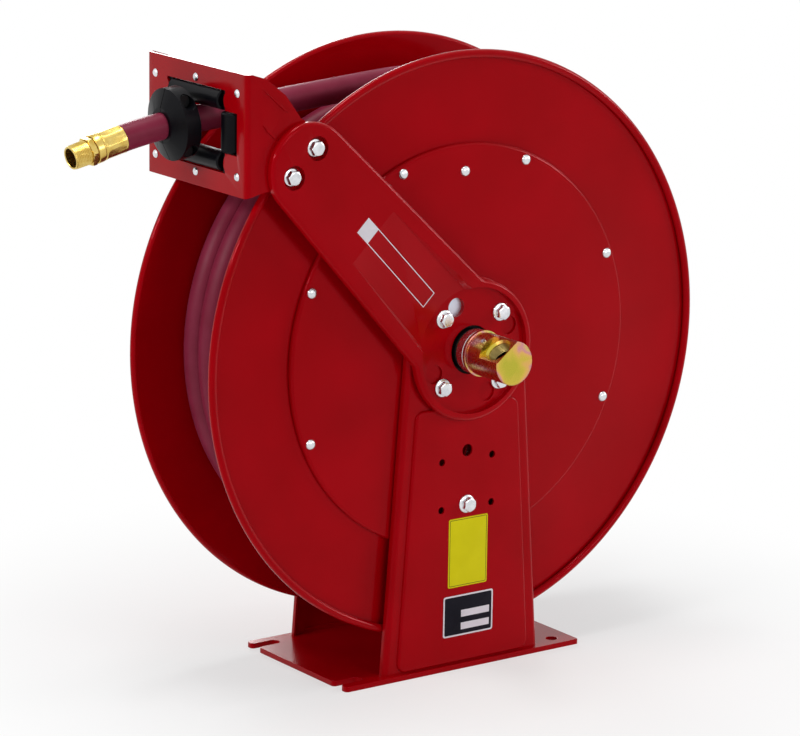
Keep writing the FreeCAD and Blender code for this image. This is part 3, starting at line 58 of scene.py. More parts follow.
logging.basicConfig(level=logging.INFO, format="%(name)s: %(message)s")

HUB_Z = 0.362
GUIDE_Z = HUB_Z + 0.259
HOSE_RADIUS = 0.0143
THREAD_PITCH = 0.00181
ARM_TURN = 134.5


class Body(Enum):
    """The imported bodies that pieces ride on."""

    FRAME = "frame"
    SPOOL = "spool"
    SWIVEL = "inlet_swivel"


# --- colour and nodes

def linear(code: str) -> tuple[float, float, float, float]:
    """A display colour such as "#A0B0C0" as linear light with alpha 1.

    Args:
        code: six hexadecimal digits after a hash.

    Returns:
        Red, green, blue and alpha in linear light.
    """
    channels = [int(code[i:i + 2], 16) / 255.0 for i in (1, 3, 5)]
    light = [c / 12.92 if c <= 0.04045 else ((c + 0.055) / 1.055) ** 2.4 for c in channels]
    return light[0], light[1], light[2], 1.0


class Graph:
    """The node tree of a material or world."""

    def __init__(self, owner: bpy.types.Material | bpy.types.World) -> None:
        """Empty the owner's node tree.

        Args:
            owner: what the nodes belong to.
        """
        owner.use_nodes = True
        self.tree = owner.node_tree
        self.tree.nodes.clear()

    def add(self, kind: str, take: str | int = 0, **settings: object) -> bpy.types.NodeSocket | None:
        """Add a node with its settings and links.

        A name is a property of the node, an input with spaces as underscores, slot0, slot1 ... for an input
        by number, or stops for a ramp's positions and colours. A socket is linked, and the rest is set.

        Args:
            kind: the node's type without ShaderNode.
            take: which output to give back.
            settings: the settings and links.

        Returns:
            The output, if the node has one.
        """
        node = self.tree.nodes.new("ShaderNode" + kind)
        for name, value in settings.items():
            if name == "stops":
                ramp = node.color_ramp.elements
                for index, (position, code) in enumerate(value):
                    element = ramp[index] if index < 2 else ramp.new(position)
                    element.position = position
                    element.color = linear(code)
            elif name in node.bl_rna.properties:
                setattr(node, name, value)
            else:
                slot = int(name[4:]) if name.startswith("slot") else name.replace("_", " ")
                target = node.inputs[slot]
                if isinstance(value, bpy.types.NodeSocket):
                    self.tree.links.new(value, target)
                else:
                    target.default_value = value
        return node.outputs[take] if node.outputs else None

    def noise(self, place: bpy.types.NodeSocket, size: float, detail: float,
              **settings: object) -> bpy.types.NodeSocket:
        """Add soft noise.

        Args:
            place: where to read it.
            size: width of its blotches in metres.
            detail: how many finer layers it has.
            settings: anything else for the node.

        Returns:
            The noise, from 0 to 1.
        """
        return self.add("TexNoise", Vector=place, Scale=1.0 / size, Detail=detail, **settings)


def new_graph(name: str) -> tuple[bpy.types.Material, Graph]:
    """A new material and its empty tree.

    Args:
        name: the material's name.

    Returns:
        The material and its graph.
    """
    material = bpy.data.materials.new(name)
    return material, Graph(material)


# --- finishes

@dataclass(frozen=True)
class Finish:
    """A finish that builds its own material."""

    name: str

    def build(self) -> bpy.types.Material:
        """Make the material.

        Returns:
            The finished material.
        """
        material, graph = new_graph(self.name)
        look = self.look(graph, graph.add("TexCoord", "Object"))
        graph.add("OutputMaterial", Surface=graph.add("BsdfPrincipled", **look))
        return material

    def look(self, graph: Graph, place: bpy.types.NodeSocket) -> dict[str, object]:
        """The settings of the principled surface, from nodes added here.

        Args:
            graph: where the nodes go.
            place: object coordinates in metres.

        Returns:
            Input name to socket or value.
        """
        raise NotImplementedError


@dataclass(frozen=True)
class PowderCoat(Finish):
    """Baked polyester powder coat: a deep even red whose gloss wavers, since it sets with orange peel."""

    name: str = "red_powder_coat"
    dark: str = "#A00008"
    light: str = "#AA000C"
    peel: float = 0.0026
    depth: float = 0.000005

    def look(self, graph: Graph, place: bpy.types.NodeSocket) -> dict[str, object]:
        """Even red under a fine grain and a wider swell."""
        tone = graph.add("ValToRGB", Fac=graph.noise(place, 0.09, 3.0),
                         stops=[(0.35, self.dark), (0.65, self.light)])
        rough = graph.add("MapRange", Value=graph.noise(place, 0.02, 3.0), To_Min=0.13, To_Max=0.18)
        fine = graph.add("Bump", Height=graph.noise(place, self.peel, 1.0), Distance=self.depth)
        skin = graph.add("Bump", Height=graph.noise(place, 0.014, 2.0), Distance=self.depth * 2.0, Normal=fine)
        return {"Base_Color": tone, "Roughness": rough, "Normal": skin, "Specular_IOR_Level": 0.2,
                "Specular_Tint": linear("#FF5468"), "Coat_Weight": 0.02, "Coat_Roughness": 0.05}


@dataclass(frozen=True)
class Plate(Finish):
    """Plated or bare metal: it mirrors its surroundings, blurred by fine scratches and uneven polish."""

    dark: str
    light: str
    rough_low: float = 0.18
    rough_high: float = 0.34
    grain: float = 0.0012
    depth: float = 0.000008

    def look(self, graph: Graph, place: bpy.types.NodeSocket) -> dict[str, object]:
        """Cloudy metal with scratches three times finer along Z."""
        tone = graph.add("ValToRGB", Fac=graph.noise(place, 0.012, 3.0),
                         stops=[(0.3, self.dark), (0.7, self.light)])
        rough = graph.add("MapRange", Value=graph.noise(place, 0.006, 4.0), To_Min=self.rough_low,
                          To_Max=self.rough_high)
        drawn = graph.add("Mapping", Vector=place, Scale=(1.0, 1.0, 3.0))
        skin = graph.add("Bump", Height=graph.noise(drawn, self.grain, 3.0), Distance=self.depth)
        return {"Base_Color": tone, "Roughness": rough, "Normal": skin, "Metallic": 1.0}


def hub_distance(graph: Graph, place: bpy.types.NodeSocket) -> bpy.types.NodeSocket:
    """Distance from the hub's axis.

    Args:
        graph: where the nodes go.
        place: object coordinates in metres.

    Returns:
        The distance in metres.
    """
    flat = graph.add("Mapping", Vector=place, Location=(0.0, 0.0, -HUB_Z), Scale=(1.0, 0.0, 1.0))
    return graph.add("VectorMath", "Value", operation="LENGTH", Vector=flat)


@dataclass(frozen=True)
class YellowZinc(Finish):
    """Yellow chromate over zinc: a thin film that drifts from gold through pink to green with thickness."""

    name: str = "yellow_chromate_zinc"

    def look(self, graph: Graph, place: bpy.types.NodeSocket) -> dict[str, object]:
        """Rings of film colour round the hub, pushed in and out by 10 mm of noise, over lathe marks."""
        spun = graph.add("Mapping", Vector=place, Location=(0.0, 0.0, -HUB_Z), Scale=(1.0, 0.35, 1.0))
        drift = graph.add("MapRange", Value=graph.noise(spun, 0.030, 2.0, Distortion=0.4), From_Min=0.3,
                          From_Max=0.7, To_Min=-0.010, To_Max=0.010)
        reach = graph.add("Math", operation="ADD", slot0=hub_distance(graph, place), slot1=drift)
        film = graph.add("MapRange", Value=reach, From_Min=0.004, From_Max=0.034)
        tone = graph.add("ValToRGB", Fac=film, stops=[
            (0.0, "#B4AC3C"), (1.0, "#A0A858"), (0.30, "#C8B048"), (0.48, "#D8A860"), (0.62, "#C88890"),
            (0.80, "#CFAE68")])
        rough = graph.add("MapRange", Value=graph.noise(place, 0.004, 3.0), To_Min=0.20, To_Max=0.36)
        skin = graph.add("Bump", Height=graph.noise(place, 0.0009, 3.0), Distance=0.00001)
        return {"Base_Color": tone, "Roughness": rough, "Normal": skin, "Metallic": 1.0}


@dataclass(frozen=True)
class BearingPlate(Finish):
    """Zinc-plated plate with painted shade: black close to the axle, where the hub hole shades it, and bright
    further out.
    """

    name: str = "painted_shade_bearing_plate"
    shade_end: float = 0.034
    fade: float = 0.003

    def look(self, graph: Graph, place: bpy.types.NodeSocket) -> dict[str, object]:
        """Painted shade near the axle that ends in a ragged edge."""
        # Painted shade: the plate is black within about 34 mm of the axle and bright plate beyond, with a noisy
        # edge.
        shade_edge = graph.noise(place, 0.006, 3.0)
        edge = graph.add("MapRange", Value=shade_edge, To_Min=-0.002, To_Max=0.002)
        reach = graph.add("Math", operation="ADD", slot0=hub_distance(graph, place), slot1=edge)
        bright = graph.add("MapRange", Value=reach, From_Min=self.shade_end - self.fade,
                           From_Max=self.shade_end)
        tone = graph.add("ValToRGB", Fac=bright, stops=[(0.0, "#08080A"), (1.0, "#C8CAD8")])
        rough = graph.add("MapRange", Value=bright, To_Min=0.5, To_Max=0.42)
        skin = graph.add("Bump", Height=shade_edge, Distance=0.00002)
        return {"Base_Color": tone, "Roughness": rough, "Normal": skin, "Metallic": bright,
                "Specular_IOR_Level": 0.12}


@dataclass(frozen=True)
class Moulding(Finish):
    """Moulded nylon, rubber or printed vinyl: an even colour under a fine matt grain."""

    dark: str
    light: str
    rough_low: float
    rough_high: float
    grain: float = 0.0006
    depth: float = 0.00001
    specular: float = 0.5

    def look(self, graph: Graph, place: bpy.types.NodeSocket) -> dict[str, object]:
        """Even colour with uneven wear and pores."""
        tone = graph.add("ValToRGB", Fac=graph.noise(place, 0.02, 3.0),
                         stops=[(0.35, self.dark), (0.65, self.light)])
        rough = graph.add("MapRange", Value=graph.noise(place, 0.005, 3.0), To_Min=self.rough_low,
                          To_Max=self.rough_high)
        skin = graph.add("Bump", Height=graph.noise(place, self.grain, 2.0), Distance=self.depth)
        return {"Base_Color": tone, "Roughness": rough, "Normal": skin, "Specular_IOR_Level": self.specular}


@dataclass(frozen=True)
class HoseCover(Finish):
    """Extruded maroon rubber cover: half matt, with a soft pale line along the side facing the light."""

    name: str = "hose_rubber"

    def look(self, graph: Graph, place: bpy.types.NodeSocket) -> dict[str, object]:
        """Dusty maroon with worn patches and fine pores."""
        tone = graph.add("ValToRGB", Fac=graph.noise(place, 0.03, 4.0),
                         stops=[(0.3, "#7C2038"), (0.7, "#882A44")])
        rough = graph.add("MapRange", Value=graph.noise(place, 0.008, 3.0), To_Min=0.38, To_Max=0.50)
        skin = graph.add("Bump", Height=graph.noise(place, 0.0012, 3.0), Distance=0.00002)
        return {"Base_Color": tone, "Roughness": rough, "Normal": skin, "Specular_IOR_Level": 0.16}


class Finishes:
    """All finishes, built once each."""

    def __init__(self) -> None:
        """Build every material."""
        self.coat = PowderCoat().build()
        self.zinc = Plate("bright_zinc_plate", "#C6C8CC", "#E6E7EA").build()
        self.steel = Plate("plain_machined_steel", "#77787A", "#98999B", 0.28, 0.42).build()
        self.bronze = Plate("sintered_bronze", "#7E5A34", "#9C7446", 0.35, 0.5).build()
        self.brass = Plate("turned_brass", "#C8A750", "#DEC472", 0.20, 0.32).build()
        self.yellow = YellowZinc().build()
        # Bearing plate with painted shade round the axle.
        self.shaded_bearing = BearingPlate().build()
        self.thread = Plate("cut_thread", "#8C7A48", "#A8945C", 0.30, 0.42).build()
        self.black = Moulding("black_nylon", "#05050A", "#0A0A0E", 0.26, 0.40, specular=0.09).build()
        self.blackened = Moulding("blackened_steel", "#08080A", "#121214", 0.30, 0.45, specular=0.2).build()
        self.seal = Moulding("seal_rubber", "#101010", "#1A1A1A", 0.5, 0.7).build()
        self.vinyl_yellow = Moulding("yellow_vinyl", "#DCD204", "#E0D608", 0.40, 0.50, specular=0.12).build()
        self.vinyl_black = Moulding("black_vinyl", "#12101A", "#181620", 0.35, 0.45, specular=0.08).build()
        self.vinyl_white = Moulding("white_vinyl", "#E2DCE4", "#EAE4EC", 0.40, 0.50, specular=0.2).build()
        self.hose = HoseCover().build()

    def by_slot(self) -> dict[str, bpy.types.Material]:
        """The record's material slots and their finishes.

        Returns:
            Slot name to material.
        """
        return {"red_coat": self.coat, "zinc": self.zinc, "bare_steel": self.steel,
                "yellow_zinc": self.yellow, "bronze": self.bronze, "black_moulding": self.black,
                "hose_rubber": self.hose, "seal_rubber": self.seal, "brass": self.brass}


def dress_nodes(finishes: Finishes) -> None:
    """Give every CAD node its slot's finish, then a few that differ from their slot.

    Args:
        finishes: the built materials.
    """
    slots = finishes.by_slot()
    for part in frame["record"]["subparts"]:
        node = frame["nodes"][part["node"]]
        node.data.materials.clear()
        node.data.materials.append(slots[part["material_slot"]])
    # The bearing housing gets the plate with painted shade near the axle.
    others = {"stop_screws": finishes.blackened, "inlet_bearing_housing": finishes.shaded_bearing,
              "ratchet_sprocket": finishes.zinc, "sprocket_screws": finishes.zinc}
    for node, material in others.items():
        frame["nodes"][node].data.materials[0] = material
    log.info("finishes on %d CAD nodes", len(frame["nodes"]))


# --- surfaces

def put(name: str, data: bpy.types.ID) -> bpy.types.Object:
    """Put a mesh, curve, light or camera in the scene.

    Args:
        name: the new object's name.
        data: what it shows.

    Returns:
        The new object.
    """
    made = bpy.data.objects.new(name, data)
    bpy.context.scene.collection.objects.link(made)
    return made


@dataclass(frozen=True)
class Axis:
    """A line that round shapes are turned about.

    Attributes:
        origin: the point at distance 0.
        along: the unit vector in which distance grows.
        first: the unit vector, square to it, at angle 0.
    """

    origin: tuple[float, float, float]
    along: tuple[float, float, float]
    first: tuple[float, float, float]

    def points(self, radius: np.ndarray, angle: np.ndarray, distance: np.ndarray) -> np.ndarray:
        """Origin + distance along + radius (cos(angle) first + sin(angle) second).

        Args:
            radius: distances from the line.
            angle: angles round it in radians.
            distance: places along it.

        Returns:
            The points, with a last axis of 3.
        """
        along, first = np.array(self.along), np.array(self.first)
        second = np.cross(along, first)
        radius, angle, distance = np.broadcast_arrays(radius, angle, distance)
        return (np.array(self.origin) + distance[..., None] * along
                + (radius * np.cos(angle))[..., None] * first + (radius * np.sin(angle))[..., None] * second)


def around(count: int) -> np.ndarray:
    """Angles evenly round a circle as a row, the first not repeated."""
    return np.linspace(0.0, math.tau, count, endpoint=False)[None, :]


def rounded_outline(corners: Sequence[tuple[float, float, float]], steps: int = 5) -> np.ndarray:
    """A closed outline with rounded corners.

    A corner P of radius r and inner angle a becomes an arc whose ends lie r / tan(a / 2) along both sides and
    whose centre lies r / sin(a / 2) along the bisector.

    Args:
        corners: x, y and radius of each corner in order.
        steps: spans in each arc.

    Returns:
        Points in order, as rows of x and y.
    """
    table = np.array(corners, dtype=float)
    point, radius = table[:, :2], table[:, 2:]
    back, ahead = np.roll(point, 1, axis=0) - point, np.roll(point, -1, axis=0) - point
    back /= np.linalg.norm(back, axis=1, keepdims=True)
    ahead /= np.linalg.norm(ahead, axis=1, keepdims=True)
    half = 0.5 * np.arccos(np.clip(np.sum(back * ahead, axis=1, keepdims=True), -0.9999, 0.9999))
    middle = (back + ahead) / np.linalg.norm(back + ahead, axis=1, keepdims=True)
    centre = point + middle * radius / np.sin(half)
    start = point + back * radius / np.tan(half) - centre
    end = point + ahead * radius / np.tan(half) - centre
    sweep = (math.pi - 2.0 * half)[:, None, :]
    share = np.linspace(0.0, 1.0, steps + 1)[None, :, None]
    arcs = (np.sin((1.0 - share) * sweep) * start[:, None, :]
            + np.sin(share * sweep) * end[:, None, :]) / np.sin(sweep)
    return (centre[:, None, :] + arcs).reshape(-1, 2)


def surface(name: str, points: np.ndarray, material: bpy.types.Material,
            wrap: tuple[bool, bool] = (True, True), crease: float = 32.0) -> bpy.types.Object:
    """A closed piece from one or more grids of points.

    Neighbours on a grid share a face of four corners; points that coincide, at poles and seams, become one.

    Args:
        name: the piece's name.
        points: an array of (grids, rows, columns, 3), or of (rows, columns, 3) for one grid.
        material: its finish.
        wrap: whether the last row joins the first, and the last column the first.
        crease: edges that turn by more than this, in degrees, stay sharp.

    Returns:
        The new piece.
    """
    if points.ndim == 3:
        points = points[None]
    grids, rows, columns = points.shape[:3]
    index = np.arange(grids * rows * columns).reshape(grids, rows, columns)
    right, down = np.roll(index, -1, axis=2), np.roll(index, -1, axis=1)
    both = np.roll(down, -1, axis=2)
    quads = np.stack([index, right, both, down], axis=-1)
    quads = quads[:, :rows if wrap[0] else rows - 1, :columns if wrap[1] else columns - 1].reshape(-1, 4)
    mesh = bpy.data.meshes.new(name)
    mesh.from_pydata(points.reshape(-1, 3).tolist(), [], quads.tolist())
    close_up(mesh, 1e-6, crease)
    mesh.materials.append(material)
    return put(name, mesh)


def close_up(mesh: bpy.types.Mesh, reach: float, crease: float) -> None:
    """Join coinciding points, face every face outwards and shade smoothly between sharp edges.

    Args:
        mesh: the mesh to finish.
        reach: how close two points coincide.
        crease: the angle in degrees past which an edge stays sharp.
    """
    work = bmesh.new()
    work.from_mesh(mesh)
    bmesh.ops.remove_doubles(work, verts=work.verts, dist=reach)
    bmesh.ops.dissolve_degenerate(work, edges=work.edges, dist=reach * 0.5)
    bmesh.ops.recalc_face_normals(work, faces=work.faces)
    work.to_mesh(mesh)
    work.free()
    mesh.shade_smooth()
    mesh.set_sharp_from_angle(angle=math.radians(crease))


def settle(piece: bpy.types.Object, body: Body, slot: str, *nodes: str) -> bpy.types.Object:
    """Ride a piece on a body and hide the CAD nodes that it stands for.

    Args:
        piece: the new piece.
        body: the body that carries it.
        slot: the record's material slot, or nothing; not used.
        nodes: CAD nodes that it replaces.

    Returns:
        The piece.
    """
    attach(piece, body.value)
    if nodes:
        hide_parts(*nodes)
    log.info("%s rides on %s", piece.name, body.value)
    return piece


# --- pressed steel

@dataclass
class Pressings:
    """Sheet and moulded parts with the softened edges that pressing, powder coat and moulds leave.

    Each is a merged copy of its CAD solid whose sharp edges get a small radius.

    Attributes:
        finishes: the built materials.
        radii: edge radius of each node, by material slot.
        reach: how close two points coincide.
        flat: neighbouring faces within this angle, in degrees, become one.
        sharp: edges that turn by more than this, in degrees, are rounded.
    """

    finishes: Finishes
    radii: dict[str, dict[str, float]] = field(default_factory=lambda: {
        "red_coat": {"inlet_pedestal": 0.0010, "spring_pedestal": 0.0010, "inlet_guide_arm": 0.0012,
                     "spring_guide_arm": 0.0012, "roller_bracket": 0.0007, "base_plate": 0.0008},
        "black_moulding": {"roller_frame": 0.0005, "inlet_stop_half": 0.0007, "spring_stop_half": 0.0007}})
    reach: float = 2e-6
    flat: float = 0.6
    sharp: float = 28.0

    def soften(self, node: str, radius: float, material: bpy.types.Material) -> bpy.types.Object:
        """Copy a CAD node's mesh, merge it and round its edges.

        Args:
            node: the CAD node.
            radius: the edge radius.
            material: the finish.

        Returns:
            The new piece.
        """
        mesh = frame["nodes"][node].data.copy()
        mesh.name = node + "_rounded"
        work = bmesh.new()
        work.from_mesh(mesh)
        bmesh.ops.remove_doubles(work, verts=work.verts, dist=self.reach)
        bmesh.ops.dissolve_limit(work, angle_limit=math.radians(self.flat), verts=work.verts, edges=work.edges)
        bmesh.ops.recalc_face_normals(work, faces=work.faces)
        work.to_mesh(mesh)
        work.free()
        mesh.materials.clear()
        mesh.materials.append(material)
        mesh.shade_smooth()
        mesh.set_sharp_from_angle(angle=math.radians(self.sharp))
        piece = put(node + "_rounded", mesh)
        bevel = piece.modifiers.new("rolled edges", "BEVEL")
        bevel.width = radius
        bevel.segments = 3
        bevel.limit_method = "ANGLE"
        bevel.angle_limit = math.radians(self.sharp)
        bevel.use_clamp_overlap = True
        bevel.miter_outer = "MITER_ARC"
        return piece

    def build(self) -> dict[str, bpy.types.Object]:
        """Make every pressed and moulded copy.

        Returns:
            Node name to its new piece.
        """
        made = {}
        for slot, radii in self.radii.items():
            for node, radius in radii.items():
                piece = self.soften(node, radius, self.finishes.by_slot()[slot])
                made[node] = settle(piece, Body.FRAME, slot, node)
        return made


# --- spool sides

@dataclass
class SpoolSides:
    """The two stamped discs with rolled rims, and the cover plates over their steps."""

    finishes: Finishes
    segments: int = 288
    bores: tuple[float, float] = (0.01755, 0.02805)
    step: float = 0.2178
    middle: float = 0.0770
    inner: float = 0.0725
    sheet: float = 0.0020
    rim: float = 0.3205
    bead: float = 0.0045
    cover: float = 0.2240
    cover_face: float = 0.0810
    cover_lip: float = 0.0755

    def disc_profile(self, bore: float) -> np.ndarray:
        """Radius and distance round the disc's section: flat middle, step, flange and 3/4 of a bead.

        Args:
            bore: radius of the hub hole.

        Returns:
            The closed section.
        """
        curl = self.bead - self.sheet
        sweep = np.radians(np.linspace(-90.0, 180.0, 25))
        centre = np.array([self.rim, self.inner + self.bead])
        ring = np.stack([np.cos(sweep), np.sin(sweep)], axis=1)
        flange = self.inner + self.sheet
        rest = rounded_outline([
            (self.rim - 0.01, flange, 0.0), (self.step + self.sheet, flange, 0.0015),
            (self.step + self.sheet, self.middle + self.sheet, 0.0015), (bore, self.middle + self.sheet, 0.0),
            (bore, self.middle, 0.0), (self.step, self.middle, 0.0012), (self.step, self.inner, 0.0018),
            (self.rim - 0.01, self.inner, 0.0)])
        return np.concatenate([centre + self.bead * ring, centre + curl * ring[::-1], rest])

    def cover_profile(self, bore: float) -> np.ndarray:
        """Radius and distance round the cover's section: a flat plate with a turned-in edge.

        Args:
            bore: radius of the hub hole.

        Returns:
            The closed section.
        """
        back = self.cover_face - self.sheet
        return rounded_outline([
            (bore, back, 0.0), (self.cover - self.sheet, back, 0.0020),
            (self.cover - self.sheet, self.cover_lip, 0.0005), (self.cover, self.cover_lip, 0.0005),
            (self.cover, self.cover_face, 0.0036), (bore, self.cover_face, 0.0)], 8)

    def build(self) -> None:
        """Turn both sections about the hub on both sides."""
        for name, side, bore in (("inlet", -1.0, self.bores[0]), ("spring", 1.0, self.bores[1])):
            hub = Axis((0.0, 0.0, HUB_Z), (0.0, side, 0.0), (1.0, 0.0, 0.0))
            for kind, profile in (("disc", self.disc_profile(bore)), ("cover", self.cover_profile(bore))):
                points = hub.points(profile[:, :1], around(self.segments), profile[:, 1:])
                piece = surface(f"{name}_{kind}_turned", points, self.finishes.coat)
                settle(piece, Body.SPOOL, "red_coat", f"{name}_{kind}")


# --- fasteners

def flats(sides: int, half_across: float, angle: np.ndarray) -> np.ndarray:
    """Radius of a regular outline: half_across / cos(angle from the middle of the nearest side).

    Args:
        sides: how many sides it has.
        half_across: half the width across its flats.
        angle: angles in radians.

    Returns:
        Radii at the angles.
    """
    span = math.tau / sides
    return half_across / np.cos(np.mod(angle, span) - 0.5 * span)


def cut_round(rows: np.ndarray, outline: np.ndarray) -> np.ndarray:
    """Radius of each row round its axis: its limit, or the outline where that is less and the row is cut.

    Args:
        rows: radius limit, height and whether the row is cut (1) or round (0).
        outline: radius of the cut outline at each angle.

    Returns:
        Radii, a row of angles for each row.
    """
    limit = rows[:, 0:1] + 0.0 * outline
    return np.where(rows[:, 2:3] > 0, np.minimum(limit, outline), limit)


def thread_phase(reach: np.ndarray, angle: np.ndarray) -> np.ndarray:
    """Depth share of a pipe thread: it rises and falls evenly once each pitch.

    Args:
        reach: distance along the axis.
        angle: angles round it in radians.

    Returns:
        The share at each place, from 0 at a crest to 1 at a root.
    """
    return np.abs(np.mod(reach / THREAD_PITCH - angle / math.tau, 1.0) - 0.5) * 2.0


@dataclass
class Fasteners:
    """Plated flange bolts, domed cover screws and the bracket's rivets."""

    finishes: Finishes
    hub_circle: float = 0.0539
    arm_reach: float = 0.3188
    arm_side: float = 0.0203
    seat: float = 0.0985
    half_across: float = 0.00715
    pawl_drop: float = 0.1740
    pawl_seat: float = 0.0950
    screw_circle: float = 0.2150
    screw_seat: float = 0.0810
    top_screw: float = 0.1940
    rivet_face: float = 0.2920
    rivets: tuple[tuple[float, float], ...] = (
        (-0.0787, -0.0436), (0.0787, -0.0436), (-0.0787, 0.0436), (0.0787, 0.0436), (0.0, -0.050), (0.0, 0.050))

    def bolt_rows(self, shank: float, length: float) -> np.ndarray:
        """Rows of radius limit, height and cut, from the head's middle down to the shank's end.

        Args:
            shank: the shank's radius.
            length: its length below the seat.

        Returns:
            The rows.
        """
        return np.array([
            (0.0, 0.0086, 0), (0.0040, 0.0086, 0), (0.0062, 0.00855, 0), (0.0068, 0.0083, 1),
            (0.0074, 0.0080, 1), (0.0083, 0.0075, 1), (0.0083, 0.0070, 1), (0.0083, 0.0026, 1),
            (0.0084, 0.0023, 1), (0.0090, 0.0020, 0), (0.0098, 0.0016, 0), (0.0102, 0.0011, 0),
            (0.0103, 0.0006, 0), (0.0103, 0.0, 0), (shank, 0.0, 0), (shank, -length, 0), (0.0, -length, 0)])

    def hub_axes(self, side: float) -> list[Axis]:
        """Axes of the four hub bolts on one side, each head turned its own way."""
        angles = [math.radians(ARM_TURN + 90.0 * step) for step in range(4)]
        return [Axis((self.hub_circle * math.cos(a), side * self.seat, HUB_Z + self.hub_circle * math.sin(a)),
                     (0.0, side, 0.0), (math.cos(a * 3.0 + 0.4), 0.0, math.sin(a * 3.0 + 0.4)))
                for a in angles]

    def arm_axes(self, side: float) -> list[Axis]:
        """Axes of the two arm-tip bolts on one side, each head turned its own way."""
        turn = math.radians(ARM_TURN)
        along, across = (math.cos(turn), math.sin(turn)), (-math.sin(turn), math.cos(turn))
        places = [(self.arm_reach * along[0] + s * self.arm_side * across[0],
                   HUB_Z + self.arm_reach * along[1] + s * self.arm_side * across[1]) for s in (-1.0, 1.0)]
        return [Axis((x, side * self.seat, z), (0.0, side, 0.0),
                     (math.cos(x * 40.0), 0.0, math.sin(x * 40.0))) for x, z in places]

    def screw_axes(self, side: float) -> list[Axis]:
        """Axes of the nine cover screws on one side: eight on a circle and one nearer the hub."""
        angles = [math.radians(22.5 + 45.0 * step) for step in range(8)]
        places = [(self.screw_circle * math.cos(a), self.screw_circle * math.sin(a)) for a in angles]
        return [Axis((x, side * self.screw_seat, HUB_Z + z), (0.0, side, 0.0), (1.0, 0.0, 0.0))
                for x, z in places + [(0.0, self.top_screw)]]

    def fit(self, name: str, rows: np.ndarray, axes: Iterable[Axis], body: Body, node: str,
            count: int = 72) -> None:
        """Turn rows about each axis as one zinc-plated piece.

        Args:
            name: the piece's name.
            rows: radius limit, height and cut.
            axes: one axis for each fastener.
            body: the body that carries it.
            node: the CAD node that it replaces.
            count: points round.
        """
        angle = around(count)
        radius = cut_round(rows, flats(6, self.half_across, angle))
        points = np.stack([axis.points(radius, angle, rows[:, 1:2]) for axis in axes])
        settle(surface(name, points, self.finishes.zinc, (False, True)), body, "zinc", node)

    def build(self) -> None:
        """Make the bolts, screws and rivets."""
        dome = np.array([
            (0.0, 0.0036, 0), (0.0018, 0.0035, 0), (0.0034, 0.0031, 0), (0.0046, 0.0024, 0),
            (0.0054, 0.0015, 0), (0.0058, 0.0007, 0), (0.0059, 0.0, 0), (0.0024, 0.0, 0),
            (0.0024, -0.008, 0), (0.0, -0.008, 0)])
        hub_bolt, arm_bolt = self.bolt_rows(0.00475, 0.012), self.bolt_rows(0.00475, 0.015)
        for name, side in (("inlet", -1.0), ("spring", 1.0)):
            self.fit(f"{name}_hub_bolt_set", hub_bolt, self.hub_axes(side), Body.FRAME, f"{name}_hub_bolts")
            self.fit(f"{name}_arm_bolt_pair", arm_bolt, self.arm_axes(side), Body.FRAME, f"{name}_arm_bolts")
            self.fit(f"{name}_cover_screw_set", dome, self.screw_axes(side), Body.SPOOL,
                     f"{name}_cover_screws", 32)
        pivot = Axis((0.0, -self.pawl_seat, HUB_Z - self.pawl_drop), (0.0, -1.0, 0.0), (0.9, 0.0, 0.436))
        self.fit("pawl_pivot_bolt_turned", self.bolt_rows(0.0050, 0.013), [pivot], Body.FRAME,
                 "pawl_pivot_bolt")
        rivet = np.array([
            (0.0, 0.0023, 0), (0.0016, 0.0022, 0), (0.0030, 0.0018, 0), (0.0039, 0.0011, 0),
            (0.0044, 0.0004, 0), (0.0044, 0.0, 0), (0.00245, 0.0, 0), (0.00245, -0.0055, 0),
            (0.0040, -0.0055, 0), (0.0040, -0.0066, 0), (0.0030, -0.0072, 0), (0.0, -0.0074, 0)])
        axes = [Axis((-self.rivet_face, y, GUIDE_Z + z), (-1.0, 0.0, 0.0), (0.0, 1.0, 0.0))
                for y, z in self.rivets]
        self.fit("bracket_rivet_set", rivet, axes, Body.FRAME, "bracket_rivets", 32)


# --- brass end and inlet thread

